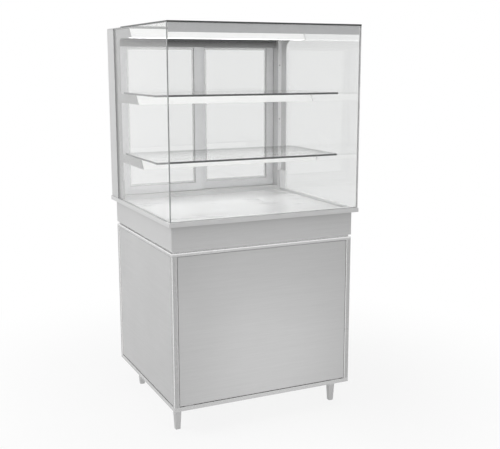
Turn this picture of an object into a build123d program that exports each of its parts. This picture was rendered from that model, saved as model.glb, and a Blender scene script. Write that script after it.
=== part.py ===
from build123d import *
import math
import os

# Free-standing refrigerated display case with a glass top.
# Millimetres. Origin on the floor under the middle, +Z up, front towards -Y, sliding doors towards +Y.

# Overall sizes
worktop_width = 860.0
worktop_depth = 806.0
worktop_height = 900.0
glass_case_height = 766.0
leg_height = 110.0

# Sheet metal and tubes
sheet = 1.5
thin_sheet = 1.2
post_size = 22.0
fold_radius = 3.0

# Worktop and deck
lip_height = 18.0
rim_side = 25.0
rim_front = 45.0
rim_rear = 105.0
recess_depth = 12.0
well_ledge = 37.0
well_ledge_end = 28.0
deck_sheet = 2.0
deck_clearance = 1.0
slot_length = 30.0
slot_width = 8.0
slot_pitch = 40.0
slot_count = 17
slot_inset = 10.0

# Base cabinet
side_overhang = 18.0
end_overhang = 28.0
apron_height = 102.0
shadow_gap = 8.0
top_rail_height = 14.0
bottom_rail_height = 18.0
riser_inset = 10.0
panel_gap = 3.0
panel_recess = 2.0
panel_depth = 14.0
panel_foot_width = 40.0
rear_panel_width = 237.0
hole_clearance = 1.0
seat_gap = 0.2

# Legs
leg_top_size = 32.0
leg_bottom_size = 21.0
leg_edge = 3.0
front_leg_inset_x = 42.0
front_leg_inset_y = 85.0
rear_leg_inset_x = 68.0
rear_leg_inset_y = 107.0

# Glass case
glass_sheet = 6.0
glass_setback = 5.0
glass_end_setback = 2.0
jamb_width = 28.0
jamb_depth = 99.0
jamb_wall = 2.0
header_height = 40.0
cover_depth = 211.0
cover_sheet = 3.0
joint = 0.3
top_profile_height = 36.0
top_profile_depth = 25.0
top_profile_sheet = 3.0
top_profile_end_gap = 8.0

# Brackets, shelves and lamps
bracket_sheet = 4.0
upright_depth = 52.0
flange_sheet = 3.0
foot_height = 88.0
foot_width = 10.0
foot_step = 6.0
arm_height = 38.0
arm_slant = 30.0
arm_root_radius = 40.0
small_root_radius = 12.0
top_arm_drop = 6.0
top_arm_length = 188.0
upper_shelf_rise = 477.0
upper_arm_length = 263.0
lower_shelf_rise = 210.0
lower_arm_length = 311.0
shelf_glass = 8.0
shelf_depth = 430.0
shelf_rear_gap = 58.0
shelf_corner = 6.0
lamp_sheet = 1.5
lamp_top_depth = 34.0
diffuser = 3.0

# Sliding doors
door_stile = 36.0
door_thickness = 16.0
door_gap = 6.0
door_front_inset = 26.0
door_overlap = 10.0
door_side_gap = 2.0
door_head_gap = 3.0
door_foot_gap = 2.0
pane = 4.0
pane_groove = 8.0
guide_fin = 4.0
guide_fin_height = 9.0
guide_groove = 7.0
guide_groove_depth = 12.0
sill_height = 8.0
sill_base = 3.0
track_width = 7.0
grip_width = 18.0
grip_length = 110.0
grip_depth = 7.0
roller_radius = 10.0
roller_width = 5.0
roller_inset = 60.0
roller_axle = 4.0
shaft_clearance = 0.08
running_gap = 0.3
roller_room = 3.0

# Well under the deck
liner_depth = 160.5
liner_sheet = 1.2
liner_inset = 2.0
liner_flange = 12.0
foam_clearance = 1.8
foam_floor = 23.0
spout_radius = 11.0
spout_bore = 9.5
spout_inset_x = 116.0
spout_inset_y = 128.0
spout_dip = 20.0
line_hole_radius = 16.0
line_hole_inset = 31.0
line_spacing = 19.0

# Evaporator and its fans
evaporator_side_gap = 86.0
evaporator_depth = 120.0
evaporator_height = 110.0
evaporator_rear_gap = 98.0
evaporator_foot = 12.0
fin_sheet = 0.8
evaporator_fins = 41
coil_tube = 9.5
tube_stub = 6.0
fan_panel_gap = 70.0
fan_x = 150.0
fan_radius = 55.0
fan_tip_gap = 4.0
fan_hub_radius = 20.0
fan_hub_length = 22.0
fan_blades = 5
fan_shaft_radius = 3.0
fan_motor_radius = 28.0
fan_motor_length = 38.0
blade_sheet = 2.0
blade_pitch = 32.0
blade_root = 4.0
motor_gap = 3.0
motor_arm = 4.0

# Condensing unit
unit_side_gap = 55.0
compressor_setback = 265.0
compressor_radius = 92.0
compressor_height = 205.0
compressor_foot_height = 16.0
compressor_dome = 41.0
foot_plate = 3.0
foot_plate_x = 212.0
foot_plate_y = 156.0
foot_plate_corner = 12.0
grommet_radius = 12.0
grommet_inset = 14.0
terminal_width = 56.0
terminal_depth = 22.0
terminal_height = 70.0
condenser_width = 320.0
condenser_height = 300.0
condenser_depth = 50.0
condenser_rear_gap = 24.0
condenser_foot = 8.5
condenser_fins = 31
condenser_rows = 10
shroud_sheet = 2.0
condenser_fan_radius = 118.0
condenser_hub_radius = 32.0
condenser_hub_length = 26.0
condenser_motor_radius = 42.0
condenser_motor_length = 60.0
condenser_shaft_radius = 4.0
pan_x = 250.0
pan_y = 170.0
pan_height = 55.0
pan_wall = 2.0
pan_corner = 20.0

# Refrigerant lines
suction_tube = 10.0
discharge_tube = 8.0
liquid_tube = 6.0
drier_radius = 10.0
drier_length = 110.0
drier_rise = 60.0
tube_bend = 15.0

# Service door
pivot_inset = 8.0
pivot_radius = 3.0
pivot_length = 14.0
pivot_block = 14.0
louvre_length = 150.0
louvre_width = 7.0
louvre_pitch = 26.0
louvre_rows = 12
louvre_gap = 30.0
louvre_rise = 20.0
handle_length = 120.0
handle_rod = 10.0
handle_reach = 24.0
handle_inset = 46.0
handle_drop = 180.0

# Controls on the rear of the apron
fascia_width = 330.0
fascia_height = 88.0
fascia_inset = 67.0
fascia_sheet = 2.0
fascia_window = 9.0
controller_inset = 95.0
controller_width = 70.0
controller_height = 30.0
controller_depth = 34.0
bezel_width = 78.0
bezel_height = 36.0
bezel_depth = 3.0
button_width = 8.0
button_height = 6.0
button_depth = 6.0
button_proud = 1.4
button_pitch = 11.0
button_inset = 11.0
button_travel = 1.0
display_depth = 0.8
display_margin = 6.0
display_height = 18.0
switch_inset = 71.0
switch_width = 22.0
switch_height = 30.0
switch_depth = 24.0
switch_wall = 3.0
switch_pitch = 34.0
switch_bezel = 2.0
switch_pivot_depth = 5.0
rocker_pin = 1.5
rocker_pin_length = 2.2
rocker_end_gap = 1.5
rocker_back = 5.0
rocker_shoulder = 4.5
rocker_front = 7.0
rocker_throw = 14.0
gland_radius = 11.0
gland_bore = 4.0
gland_length = 18.0
gland_nut = 15.0
gland_nut_length = 7.0
gland_inset_x = 60.0
gland_inset_z = 70.0

# Levels and half sizes worked out from the values above
half_width = worktop_width / 2
half_depth = worktop_depth / 2
body_half_width = half_width - side_overhang
body_half_depth = half_depth - end_overhang
lip_bottom = worktop_height - lip_height
apron_bottom = lip_bottom - apron_height
frame_top = apron_bottom - shadow_gap
frame_rail_bottom = frame_top - top_rail_height
base_top = leg_height + bottom_rail_height
recess_half_width = half_width - rim_side
recess_front = -half_depth + rim_front
recess_rear = half_depth - rim_rear
recess_floor = worktop_height - recess_depth
well_half_width = recess_half_width - well_ledge
well_front = recess_front + well_ledge_end
well_rear = recess_rear - well_ledge_end
deck_top = recess_floor + deck_sheet
case_half_width = half_width - glass_setback
case_front = -half_depth + glass_end_setback
case_rear = half_depth - glass_end_setback
case_top = worktop_height + glass_case_height
wall_top = case_top - glass_sheet
glass_inner = case_half_width - glass_sheet
jamb_front = case_rear - jamb_depth
jamb_inner = case_half_width - jamb_width
header_bottom = wall_top - header_height
sill_top = worktop_height + sill_height
track_floor = worktop_height + sill_base
upright_front = jamb_front - upright_depth
panel_bottom = base_top + hole_clearance * 2
panel_top = frame_rail_bottom - hole_clearance * 2
panel_half_width = body_half_width - post_size - panel_gap
panel_half_depth = body_half_depth - post_size - panel_gap
rear_face = body_half_depth - panel_recess
rear_back = rear_face - panel_depth
top_arm_z = wall_top - top_arm_drop
upper_shelf_z = worktop_height + upper_shelf_rise
lower_shelf_z = worktop_height + lower_shelf_rise
liner_top = recess_floor - sheet
liner_floor = liner_top - liner_depth
liner_x = well_half_width - liner_inset
liner_front = well_front + liner_inset
liner_rear = well_rear - liner_inset
foam = body_half_width - post_size - foam_clearance - liner_x - liner_sheet
pan_floor = leg_height + sheet
pan_top = pan_floor + pan_height
evaporator_width = 2 * (liner_x - evaporator_side_gap)
evaporator_y = liner_rear - evaporator_rear_gap - evaporator_depth / 2
evaporator_z = liner_floor + evaporator_foot + evaporator_height / 2
fan_panel_y = evaporator_y - evaporator_depth / 2 - fan_panel_gap
line_hole_x = liner_x - line_hole_inset
line_hole_y = evaporator_y
spout_x = spout_inset_x - liner_x
spout_y = liner_front + spout_inset_y
unit_x = line_hole_x - unit_side_gap - condenser_width / 2
condenser_front_y = rear_back - condenser_rear_gap - condenser_depth
condenser_fan_z = pan_floor + condenser_foot + condenser_height / 2
compressor_y = condenser_front_y - compressor_setback


def block(x_range, y_range, z_range, mode=Mode.ADD):
    """Add or cut a plain block given by its two ends along X, Y and Z."""
    ranges = (x_range, y_range, z_range)
    centre = tuple((low + high) / 2 for low, high in ranges)
    size = tuple(high - low for low, high in ranges)
    with Locations(centre):
        Box(*size, mode=mode)


def both_ways(value):
    """The range from minus value to plus value."""
    return (-value, value)


def save(piece, name):
    """Label a finished piece and write it to its own file."""
    piece.part.label = name
    export_step(piece.part, f"parts/{name}.step")


os.makedirs("parts", exist_ok=True)

# Base tray: folded pan whose turned-up edge is the bottom rail, with a flange that carries the posts
with BuildPart() as base_tray:
    block(both_ways(body_half_width), both_ways(body_half_depth), (leg_height, base_top))
    fillet(base_tray.edges().filter_by(Axis.Z), fold_radius)
    block(
        both_ways(body_half_width - sheet),
        both_ways(body_half_depth - sheet),
        (leg_height + sheet, base_top - sheet),
        mode=Mode.SUBTRACT,
    )
    block(
        both_ways(body_half_width - post_size),
        both_ways(body_half_depth - post_size),
        (base_top - sheet, base_top),
        mode=Mode.SUBTRACT,
    )
save(base_tray, "base_tray")

# Legs: four tapered square legs under the tray, with broken edges
with BuildPart() as legs:
    for leg_x, leg_y in (
        (front_leg_inset_x - body_half_width, front_leg_inset_y - body_half_depth),
        (body_half_width - front_leg_inset_x, front_leg_inset_y - body_half_depth),
        (rear_leg_inset_x - body_half_width, body_half_depth - rear_leg_inset_y),
        (body_half_width - rear_leg_inset_x, body_half_depth - rear_leg_inset_y),
    ):
        with BuildSketch(Plane.XY.offset(leg_height)):
            with Locations((leg_x, leg_y)):
                RectangleRounded(leg_top_size, leg_top_size, leg_edge)
        with BuildSketch(Plane.XY):
            with Locations((leg_x, leg_y)):
                RectangleRounded(leg_bottom_size, leg_bottom_size, leg_edge)
        loft()
save(legs, "legs")

# Corner posts: square tubes standing on the tray's flange
with BuildPart() as corner_posts:
    post_x = body_half_width - post_size / 2
    post_y = body_half_depth - post_size / 2
    with BuildSketch(Plane.XY.offset(base_top)):
        with GridLocations(2 * post_x, 2 * post_y, 2, 2):
            RectangleRounded(post_size, post_size, fold_radius)
        with GridLocations(2 * post_x, 2 * post_y, 2, 2):
            Rectangle(post_size - 2 * sheet, post_size - 2 * sheet, mode=Mode.SUBTRACT)
    extrude(amount=frame_rail_bottom - base_top)
save(corner_posts, "corner_posts")

# Upper frame: ring of rails on the posts, with a set-back riser that leaves the shadow gap
with BuildPart() as upper_frame:
    with BuildSketch(Plane.XY.offset(frame_rail_bottom)):
        RectangleRounded(2 * body_half_width, 2 * body_half_depth, fold_radius)
        Rectangle(2 * (body_half_width - post_size), 2 * (body_half_depth - post_size), mode=Mode.SUBTRACT)
    extrude(amount=top_rail_height)
    with BuildSketch(Plane.XY.offset(frame_top)):
        Rectangle(2 * (body_half_width - riser_inset), 2 * (body_half_depth - riser_inset))
        Rectangle(2 * (body_half_width - post_size), 2 * (body_half_depth - post_size), mode=Mode.SUBTRACT)
    extrude(amount=shadow_gap)
    block(
        both_ways(body_half_width - sheet),
        both_ways(body_half_depth - sheet),
        (frame_rail_bottom + sheet, frame_top - sheet),
        mode=Mode.SUBTRACT,
    )
    with BuildSketch(Plane.XY.offset(frame_rail_bottom + sheet)):
        Rectangle(2 * (body_half_width - post_size + sheet), 2 * (body_half_depth - post_size + sheet))
        Rectangle(2 * (body_half_width - post_size), 2 * (body_half_depth - post_size), mode=Mode.SUBTRACT)
    extrude(amount=top_rail_height - 2 * sheet)
save(upper_frame, "upper_frame")

# Front panel: folded tray panel between the front posts, standing on two small feet
with BuildPart() as front_panel:
    face_y = -body_half_depth + panel_recess
    back_y = face_y + panel_depth
    block(both_ways(panel_half_width), (face_y, back_y), (panel_bottom, panel_top))
    block(
        both_ways(panel_half_width - thin_sheet),
        (face_y + thin_sheet, back_y),
        (panel_bottom + thin_sheet, panel_top - thin_sheet),
        mode=Mode.SUBTRACT,
    )
    for side in (-1, 1):
        foot_x = side * (panel_half_width - panel_foot_width)
        block(
            (foot_x - panel_foot_width / 2, foot_x + panel_foot_width / 2),
            (face_y + thin_sheet, back_y),
            (base_top, panel_bottom),
        )
save(front_panel, "front_panel")

# Side panels: the same construction between the side posts
for side, panel_name in ((-1, "left_side_panel"), (1, "right_side_panel")):
    outer_x = side * (body_half_width - panel_recess)
    back_x = outer_x - side * panel_depth
    skin_x = outer_x - side * thin_sheet
    with BuildPart() as side_panel:
        block(sorted((outer_x, back_x)), both_ways(panel_half_depth), (panel_bottom, panel_top))
        block(
            sorted((skin_x, back_x)),
            both_ways(panel_half_depth - thin_sheet),
            (panel_bottom + thin_sheet, panel_top - thin_sheet),
            mode=Mode.SUBTRACT,
        )
        for end in (-1, 1):
            foot_y = end * (panel_half_depth - panel_foot_width)
            block(
                sorted((skin_x, back_x)),
                (foot_y - panel_foot_width / 2, foot_y + panel_foot_width / 2),
                (base_top, panel_bottom),
            )
    save(side_panel, panel_name)

# Rear panel: fixed panel beside the service door, with the hole for the cable gland
rear_panel_x = (-panel_half_width, -panel_half_width + rear_panel_width)
gland_x = rear_panel_x[0] + gland_inset_x
gland_z = base_top + gland_inset_z
with BuildPart() as rear_panel:
    block(rear_panel_x, (rear_back, rear_face), (panel_bottom, panel_top))
    block(
        (rear_panel_x[0] + thin_sheet, rear_panel_x[1] - thin_sheet),
        (rear_back, rear_face - thin_sheet),
        (panel_bottom + thin_sheet, panel_top - thin_sheet),
        mode=Mode.SUBTRACT,
    )
    for foot_x in (rear_panel_x[0] + panel_foot_width, rear_panel_x[1] - panel_foot_width):
        block(
            (foot_x - panel_foot_width / 2, foot_x + panel_foot_width / 2),
            (rear_back, rear_face - thin_sheet),
            (base_top, panel_bottom),
        )
    with BuildSketch(Plane.XZ.offset(-rear_face)):
        with Locations((gland_x, gland_z)):
            Circle(gland_radius + seat_gap)
    extrude(amount=thin_sheet, mode=Mode.SUBTRACT)
save(rear_panel, "rear_panel")

# Cable gland: threaded body through the rear panel with a hexagon nut outside
with BuildPart() as cable_gland:
    with BuildSketch(Plane.XZ.offset(-rear_face)):
        with Locations((gland_x, gland_z)):
            RegularPolygon(gland_nut, 6)
    extrude(amount=-gland_nut_length)
    with BuildSketch(Plane.XZ.offset(-rear_face)):
        with Locations((gland_x, gland_z)):
            Circle(gland_radius)
    extrude(amount=gland_length)
    with BuildSketch(Plane.XZ.offset(-rear_face - gland_length)):
        with Locations((gland_x, gland_z)):
            Circle(gland_bore)
    extrude(amount=2 * gland_length, mode=Mode.SUBTRACT)
save(cable_gland, "cable_gland")

# Service door: louvred tray panel on two vertical pivots at its right edge
service_x = (rear_panel_x[1] + panel_gap, panel_half_width - hole_clearance)
pivot_x = service_x[1] - pivot_inset
pivot_y = rear_face - panel_depth / 2
with BuildPart() as service_door:
    block(service_x, (rear_back, rear_face), (panel_bottom, panel_top))
    block(
        (service_x[0] + thin_sheet, service_x[1] - thin_sheet),
        (rear_back, rear_face - thin_sheet),
        (panel_bottom + thin_sheet, panel_top - thin_sheet),
        mode=Mode.SUBTRACT,
    )
    for block_bottom in (panel_bottom + thin_sheet, panel_top - thin_sheet - pivot_block):
        block(
            (service_x[1] - thin_sheet - pivot_block, service_x[1] - thin_sheet),
            (rear_back, rear_face - thin_sheet),
            (block_bottom, block_bottom + pivot_block),
        )
    with BuildSketch(Plane.XY.offset(panel_bottom)):
        with Locations((pivot_x, pivot_y)):
            Circle(pivot_radius + shaft_clearance)
    extrude(amount=panel_top - panel_bottom, mode=Mode.SUBTRACT)
    louvre_z = condenser_fan_z + louvre_rise
    with BuildSketch(Plane.XZ.offset(-rear_face)):
        with Locations((unit_x, louvre_z)):
            with GridLocations(louvre_length + louvre_gap, louvre_pitch, 2, louvre_rows):
                SlotOverall(louvre_length, louvre_width)
    extrude(amount=thin_sheet, mode=Mode.SUBTRACT)
save(service_door, "service_door")

# Service door pivots: collared pins fixed to the tray's flange and to the upper frame
with BuildPart() as service_door_pivots:
    collar = panel_bottom - base_top - running_gap
    for foot_z, direction in ((base_top, 1), (frame_rail_bottom, -1)):
        with BuildSketch(Plane.XY.offset(foot_z)):
            with Locations((pivot_x, pivot_y)):
                Circle(2 * pivot_radius)
        extrude(amount=direction * collar)
        with BuildSketch(Plane.XY.offset(foot_z)):
            with Locations((pivot_x, pivot_y)):
                Circle(pivot_radius)
        extrude(amount=direction * pivot_length)
save(service_door_pivots, "service_door_pivots")

# Service door handle: bent rod with its two ends on the door's skin
handle_x = service_x[0] + handle_inset
handle_z = panel_top - handle_drop
with BuildPart() as service_door_handle:
    with BuildLine():
        FilletPolyline(
            (handle_x, rear_face, handle_z - handle_length / 2),
            (handle_x, rear_face + handle_reach - handle_rod / 2, handle_z - handle_length / 2),
            (handle_x, rear_face + handle_reach - handle_rod / 2, handle_z + handle_length / 2),
            (handle_x, rear_face, handle_z + handle_length / 2),
            radius=handle_rod,
        )
    with BuildSketch(Plane(origin=(handle_x, rear_face, handle_z - handle_length / 2), z_dir=(0, 1, 0))):
        Circle(handle_rod / 2)
    sweep()
save(service_door_handle, "service_door_handle")

# Apron: folded band up to the underside of the worktop, its bottom return resting on the riser
fascia_z = (apron_bottom + lip_bottom) / 2
fascia_x = fascia_inset + fascia_width / 2 - body_half_width
with BuildPart() as apron:
    with BuildSketch(Plane.XY.offset(apron_bottom)):
        RectangleRounded(2 * body_half_width, 2 * body_half_depth, fold_radius)
        Rectangle(2 * (body_half_width - sheet), 2 * (body_half_depth - sheet), mode=Mode.SUBTRACT)
    extrude(amount=worktop_height - sheet - apron_bottom)
    with BuildSketch(Plane.XY.offset(apron_bottom)):
        Rectangle(2 * (body_half_width - sheet), 2 * (body_half_depth - sheet))
        Rectangle(2 * (body_half_width - post_size), 2 * (body_half_depth - post_size), mode=Mode.SUBTRACT)
    extrude(amount=sheet)
    block(
        (fascia_x - fascia_width / 2 + fascia_window, fascia_x + fascia_width / 2 - fascia_window),
        (body_half_depth - sheet, body_half_depth),
        (fascia_z - fascia_height / 2 + fascia_window, fascia_z + fascia_height / 2 - fascia_window),
        mode=Mode.SUBTRACT,
    )
save(apron, "apron")

# Worktop: one pressing with a downturned lip, a recess for the deck and an opening over the well
with BuildPart() as worktop:
    with BuildSketch(Plane.XY.offset(lip_bottom)):
        RectangleRounded(worktop_width, worktop_depth, fold_radius)
    extrude(amount=lip_height)
    block(
        both_ways(half_width - sheet),
        both_ways(half_depth - sheet),
        (lip_bottom + sheet, worktop_height - sheet),
        mode=Mode.SUBTRACT,
    )
    block(
        both_ways(body_half_width + hole_clearance / 2),
        both_ways(body_half_depth + hole_clearance / 2),
        (lip_bottom, lip_bottom + sheet),
        mode=Mode.SUBTRACT,
    )
    block(
        both_ways(recess_half_width + sheet),
        (recess_front - sheet, recess_rear + sheet),
        (recess_floor - sheet, worktop_height - sheet),
    )
    block(
        both_ways(recess_half_width),
        (recess_front, recess_rear),
        (recess_floor, worktop_height),
        mode=Mode.SUBTRACT,
    )
    block(
        both_ways(well_half_width),
        (well_front, well_rear),
        (recess_floor - sheet, recess_floor),
        mode=Mode.SUBTRACT,
    )
save(worktop, "worktop")

# Deck plate: lies in the recess, with a row of air slots at the front and one at the rear
with BuildPart() as deck_plate:
    block(
        both_ways(recess_half_width - deck_clearance),
        (recess_front + deck_clearance, recess_rear - deck_clearance),
        (recess_floor, deck_top),
    )
    for slot_y in (well_front + slot_inset, well_rear - slot_inset):
        with BuildSketch(Plane.XY.offset(recess_floor)):
            with Locations((0, slot_y)):
                with GridLocations(slot_pitch, 1, slot_count, 1):
                    SlotOverall(slot_length, slot_width)
        extrude(amount=deck_sheet, mode=Mode.SUBTRACT)
save(deck_plate, "deck_plate")

# Well liner: steel tub hung by its flange under the recess, with a drain spout and a hole for the lines
spout_end = pan_top - spout_dip
with BuildPart() as well_liner:
    block(
        both_ways(liner_x + liner_sheet + liner_flange),
        (liner_front - liner_sheet - liner_flange, liner_rear + liner_sheet + liner_flange),
        (liner_top - liner_sheet, liner_top),
    )
    block(
        both_ways(liner_x + liner_sheet),
        (liner_front - liner_sheet, liner_rear + liner_sheet),
        (liner_floor - liner_sheet, liner_top),
    )
    block(both_ways(liner_x), (liner_front, liner_rear), (liner_floor, liner_top), mode=Mode.SUBTRACT)
    with BuildSketch(Plane.XY.offset(spout_end)):
        with Locations((spout_x, spout_y)):
            Circle(spout_radius)
    extrude(amount=liner_floor - liner_sheet - spout_end)
    with BuildSketch(Plane.XY.offset(spout_end)):
        with Locations((spout_x, spout_y)):
            Circle(spout_bore)
        with Locations((line_hole_x, line_hole_y)):
            Circle(line_hole_radius)
    extrude(amount=liner_floor - spout_end, mode=Mode.SUBTRACT)
save(well_liner, "well_liner")

# Well insulation: foam tub round the liner
foam_bottom = liner_floor - liner_sheet - foam_floor
with BuildPart() as well_insulation:
    block(
        both_ways(liner_x + liner_sheet + foam),
        (liner_front - liner_sheet - foam, liner_rear + liner_sheet + foam),
        (foam_bottom, liner_top - liner_sheet),
    )
    block(
        both_ways(liner_x + liner_sheet),
        (liner_front - liner_sheet, liner_rear + liner_sheet),
        (liner_floor - liner_sheet, liner_top - liner_sheet),
        mode=Mode.SUBTRACT,
    )
    with BuildSketch(Plane.XY.offset(foam_bottom)):
        with Locations((spout_x, spout_y)):
            Circle(spout_radius + hole_clearance / 2)
        with Locations((line_hole_x, line_hole_y)):
            Circle(line_hole_radius)
    extrude(amount=foam_floor, mode=Mode.SUBTRACT)
save(well_insulation, "well_insulation")


def finned_coil(centre, size, fins, columns, rows, foot_z):
    """Fins on tubes that run along X, between two end plates that reach down to foot_z."""
    x, y, z = centre
    width, depth, height = size
    with BuildPart() as coil:
        with Locations(centre):
            with GridLocations(width / (fins - 1), 1, fins, 1):
                Box(fin_sheet, depth, height)
        for side in (-1, 1):
            plate_x = x + side * (width / 2 + fin_sheet)
            block(
                (plate_x - fin_sheet, plate_x + fin_sheet),
                (y - depth / 2, y + depth / 2),
                (foot_z, z + height / 2),
            )
        with BuildSketch(Plane.YZ.offset(x - width / 2 - tube_stub)):
            with Locations((y, z)):
                with GridLocations(depth / columns, height / rows, columns, rows):
                    Circle(coil_tube / 2)
        extrude(amount=width + 2 * tube_stub)
    return coil


def axial_fan(centre, hub_radius, hub_length, tip_radius, shaft_radius):
    """Hub with tilted blades, turning about the Y direction through its centre."""
    front = Plane(origin=centre, x_dir=(1, 0, 0), z_dir=(0, 1, 0))
    blade_length = tip_radius - hub_radius + 2 * blade_root
    chord = hub_length / math.sin(math.radians(blade_pitch))
    with BuildPart() as fan:
        with Locations(front):
            with PolarLocations(tip_radius + blade_root - blade_length / 2, fan_blades):
                Box(blade_length, chord, blade_sheet, rotation=(blade_pitch, 0, 0))
        with BuildSketch(front.offset(-hub_length / 2)):
            Circle(tip_radius)
        extrude(amount=hub_length, mode=Mode.INTERSECT)
        with BuildSketch(front.offset(-hub_length / 2)):
            Circle(hub_radius)
        extrude(amount=hub_length)
        with BuildSketch(front.offset(-hub_length / 2)):
            Circle(shaft_radius + shaft_clearance)
        extrude(amount=hub_length, mode=Mode.SUBTRACT)
    return fan


def add_motor(centre, side, hub_length, motor_radius, motor_length, shaft_radius, mount_radius, mount_y):
    """Motor beside a fan: shaft with two collars, body, and four arms to the plate at mount_y."""
    axis = Plane(origin=centre, x_dir=(1, 0, 0), z_dir=(0, side, 0))
    collar = 2 * shaft_radius
    body_start = hub_length / 2 + motor_gap
    arm_middle = body_start + 2 * motor_arm
    mount = side * (mount_y - centre[1])
    leg_length = arm_middle + motor_arm / 2 - mount
    for radius, start, length in (
        (motor_radius, body_start, motor_length),
        (collar, hub_length / 2 + running_gap, motor_gap - running_gap),
        (collar, -hub_length / 2 - motor_gap, motor_gap - running_gap),
        (shaft_radius, -hub_length / 2 - motor_gap, hub_length + 2 * motor_gap),
    ):
        with BuildSketch(axis.offset(start)) as disc:
            Circle(radius)
        extrude(disc.sketch, amount=length)
    with Locations(axis.offset(arm_middle)):
        with PolarLocations((motor_radius + mount_radius) / 2, 4, 45):
            Box(mount_radius - motor_radius + 2 * motor_arm, 2 * motor_arm, motor_arm)
    with Locations(axis.offset(mount + leg_length / 2)):
        with PolarLocations(mount_radius, 4, 45):
            Box(2 * motor_arm, 2 * motor_arm, leg_length)


# Evaporator: finned coil whose end plates stand on the liner's floor
evaporator = finned_coil(
    (0, evaporator_y, evaporator_z),
    (evaporator_width, evaporator_depth, evaporator_height),
    evaporator_fins,
    3,
    3,
    liner_floor,
)
save(evaporator, "evaporator")

# Evaporator fan panel: upright plate across the well with two round openings
fan_z = liner_floor + liner_depth / 2
fan_y = fan_panel_y + sheet / 2
with BuildPart() as evaporator_fan_panel:
    block(
        both_ways(liner_x - hole_clearance),
        (fan_panel_y, fan_panel_y + sheet),
        (liner_floor, liner_top - hole_clearance),
    )
    with BuildSketch(Plane.XZ.offset(-fan_panel_y - sheet)):
        with Locations((0, fan_z)):
            with GridLocations(2 * fan_x, 1, 2, 1):
                Circle(fan_radius + fan_tip_gap)
    extrude(amount=sheet, mode=Mode.SUBTRACT)
save(evaporator_fan_panel, "evaporator_fan_panel")

# Evaporator fans and their motors, which are carried by arms on the panel's rear face
for side, fan_name in ((-1, "evaporator_fan_left"), (1, "evaporator_fan_right")):
    small_fan = axial_fan(
        (side * fan_x, fan_y, fan_z), fan_hub_radius, fan_hub_length, fan_radius, fan_shaft_radius
    )
    save(small_fan, fan_name)

with BuildPart() as evaporator_fan_motors:
    for side in (-1, 1):
        add_motor(
            (side * fan_x, fan_y, fan_z),
            1,
            fan_hub_length,
            fan_motor_radius,
            fan_motor_length,
            fan_shaft_radius,
            fan_radius + fan_tip_gap + 2 * motor_arm,
            fan_panel_y + sheet,
        )
save(evaporator_fan_motors, "evaporator_fan_motors")

# Drain pan: shallow tray on the base under the spout
with BuildPart() as drain_pan:
    with BuildSketch(Plane.XY.offset(pan_floor)):
        with Locations((spout_x, spout_y)):
            RectangleRounded(pan_x, pan_y, pan_corner)
    extrude(amount=pan_height)
    with BuildSketch(Plane.XY.offset(pan_floor + pan_wall)):
        with Locations((spout_x, spout_y)):
            RectangleRounded(pan_x - 2 * pan_wall, pan_y - 2 * pan_wall, pan_corner - pan_wall)
    extrude(amount=pan_height, mode=Mode.SUBTRACT)
save(drain_pan, "drain_pan")

# Compressor: welded shell on a foot plate and four grommets, with a terminal box and two stubs
shell_bottom = pan_floor + compressor_foot_height
shell_middle = shell_bottom + compressor_height / 2
suction_z = shell_middle + 20.0
discharge_z = shell_middle - 10.0
with BuildPart() as compressor:
    with BuildSketch(Plane.XY.offset(shell_bottom)):
        with Locations((unit_x, compressor_y)):
            Circle(compressor_radius)
    extrude(amount=compressor_height)
    fillet(compressor.edges().filter_by(GeomType.CIRCLE), compressor_dome)
    with BuildSketch(Plane.XY.offset(shell_middle)):
        with Locations((unit_x, compressor_y)):
            Circle(compressor_radius + sheet)
    extrude(amount=2 * sheet)
    with BuildSketch(Plane.XY.offset(shell_bottom)):
        with Locations((unit_x, compressor_y)):
            RectangleRounded(foot_plate_x, foot_plate_y, foot_plate_corner)
    extrude(amount=foot_plate)
    with BuildSketch(Plane.XY.offset(pan_floor)):
        with Locations((unit_x, compressor_y)):
            with GridLocations(foot_plate_x - 2 * grommet_inset, foot_plate_y - 2 * grommet_inset, 2, 2):
                Circle(grommet_radius)
    extrude(amount=compressor_foot_height)
    block(
        (unit_x - terminal_width / 2, unit_x + terminal_width / 2),
        (compressor_y - compressor_radius - terminal_depth, compressor_y - compressor_radius / 2),
        (shell_middle - terminal_height / 2, shell_middle + terminal_height / 2),
    )
    for side, stub_z, stub_size in ((1, suction_z, suction_tube), (-1, discharge_z, discharge_tube)):
        with BuildSketch(Plane.YZ.offset(unit_x + side * (compressor_radius - tube_stub))):
            with Locations((compressor_y, stub_z)):
                Circle(stub_size / 2 + sheet)
        extrude(amount=side * 2 * tube_stub)
save(compressor, "compressor")

# Condenser: finned coil whose end plates stand on the tray
condenser_y = condenser_front_y + condenser_depth / 2
condenser = finned_coil(
    (unit_x, condenser_y, condenser_fan_z),
    (condenser_width, condenser_depth, condenser_height),
    condenser_fins,
    2,
    condenser_rows,
    pan_floor,
)
save(condenser, "condenser")

# Condenser fan shroud: plate on the coil's front with a short round duct for the fan
shroud_y = condenser_front_y - shroud_sheet
shroud_hole = condenser_fan_radius + fan_tip_gap
duct_end = shroud_y - condenser_hub_length
with BuildPart() as condenser_fan_shroud:
    block(
        (unit_x - condenser_width / 2, unit_x + condenser_width / 2),
        (shroud_y, condenser_front_y),
        (pan_floor, condenser_fan_z + condenser_height / 2),
    )
    with BuildSketch(Plane.XZ.offset(-condenser_front_y)):
        with Locations((unit_x, condenser_fan_z)):
            Circle(shroud_hole + shroud_sheet)
    extrude(amount=condenser_front_y - duct_end)
    with BuildSketch(Plane.XZ.offset(-condenser_front_y)):
        with Locations((unit_x, condenser_fan_z)):
            Circle(shroud_hole)
    extrude(amount=condenser_front_y - duct_end, mode=Mode.SUBTRACT)
save(condenser_fan_shroud, "condenser_fan_shroud")

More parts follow.
